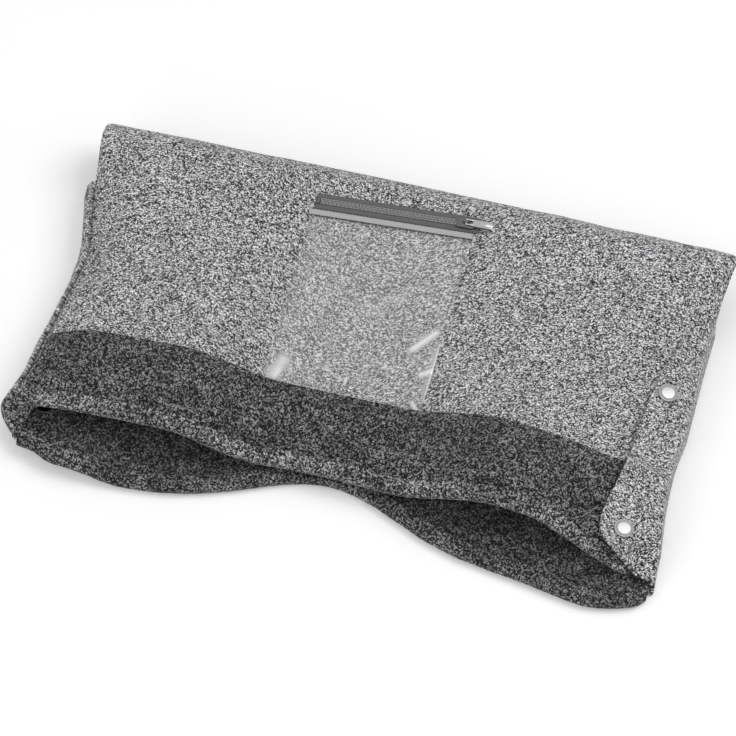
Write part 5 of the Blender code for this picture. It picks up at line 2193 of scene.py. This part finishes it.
@dataclass
class Studio:
    """Camera, floor and soft light."""

    azimuth: float = math.radians(14.60)
    elevation: float = math.radians(54.17)
    distance: float = 7.051
    lens: float = 458.6
    roll: float = math.radians(0.18)
    target: tuple[float, float, float] = (0.0004, -0.0059, 0.020)
    world_fill: float = 0.50

    def aim(
        self, name: str, data: bpy.types.ID, place: Vector, towards: Vector, roll: float = 0.0
    ) -> bpy.types.Object:
        """Hangs a camera or a lamp and turns it.

        Args:
            name: Name of the object.
            data: The camera or the lamp.
            place: Where it hangs.
            towards: Direction that it points in.
            roll: Turn about that direction, in radians.

        Returns:
            The object.
        """
        obj = bpy.data.objects.new(name, data)
        turn = towards.to_track_quat("-Z", "Y").to_matrix().to_4x4() @ Matrix.Rotation(roll, 4, "Z")
        obj.matrix_world = Matrix.Translation(place) @ turn
        bpy.context.scene.collection.objects.link(obj)
        return obj

    def build_camera(self) -> None:
        """Sets the camera at the photograph's angle."""
        az, el = self.azimuth, self.elevation
        back = Vector((math.sin(az) * math.cos(el), -math.cos(az) * math.cos(el), math.sin(el)))
        data = bpy.data.cameras.new("camera")
        data.lens = self.lens
        data.sensor_width = 36.0
        data.clip_start, data.clip_end = 0.1, 60.0
        place = Vector(self.target) + back * self.distance
        bpy.context.scene.camera = self.aim("camera", data, place, -back, self.roll)

    def build_world(self) -> None:
        """White surroundings for the camera, metal and clear plastic, and a softer fill for the rest."""
        world = bpy.data.worlds.new("surroundings")
        world.use_nodes = True
        bench = Bench(world.node_tree)
        direct = bench.math("MULTIPLY", bench.seen(), 1.0 - self.world_fill)
        strength = bench.math("ADD", direct, self.world_fill)
        white = (1.0, 1.0, 1.0, 1.0)
        bench.put(world.node_tree.nodes["Background"], {"Color": white, "Strength": strength})
        bpy.context.scene.world = world

    def build_floor(self) -> None:
        """Lays the floor just under the muff."""
        bm = bmesh.new()
        bmesh.ops.create_grid(bm, x_segments=2, y_segments=2, size=4.0)
        bmesh.ops.translate(bm, verts=bm.verts[:], vec=(0.0, 0.0, -0.0003))
        mesh = bpy.data.meshes.new("floor")
        bm.to_mesh(mesh)
        bm.free()
        mesh.materials.append(PaleFloor("pale_floor").material())
        floor = bpy.data.objects.new("floor", mesh)
        bpy.context.scene.collection.objects.link(floor)

    def build(self) -> None:
        """Builds the studio, with two soft square lamps."""
        self.build_camera()
        self.build_world()
        self.build_floor()
        lamps = (("key_lamp", 29.5, 1.9, (1.4, 0.6, 2.4)), ("fill_lamp", 18.5, 2.4, (-1.2, -1.9, 1.5)))
        for name, power, size, place in lamps:
            data = bpy.data.lights.new(name, "AREA")
            data.energy = power
            data.size = size
            self.aim(name, data, Vector(place), -Vector(place))
        bpy.context.scene.view_settings.view_transform = "Standard"


def main() -> None:
    """Builds the studio and every piece, in order."""
    logging.basicConfig(level=logging.INFO, format="%(name)s: %(message)s")
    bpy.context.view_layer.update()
    form = MuffForm()
    shared = (form, SideDraw(form), Wardrobe())
    Studio().build()
    PaddedBody(*shared).build()
    for rim in Rim:
        RimRoll(*shared, rim).build()
    Cuff(*shared).build()
    studs = PressStuds(*shared)
    for side in Side:
        flap = SideFlap(*shared, side)
        flap.build()
        studs.build_side(flap)
    studs.build_centre()
    pocket = PhonePocket(*shared)
    pocket.build()
    Seams(*shared).build(pocket)


if __name__ == "__main__":
    main()
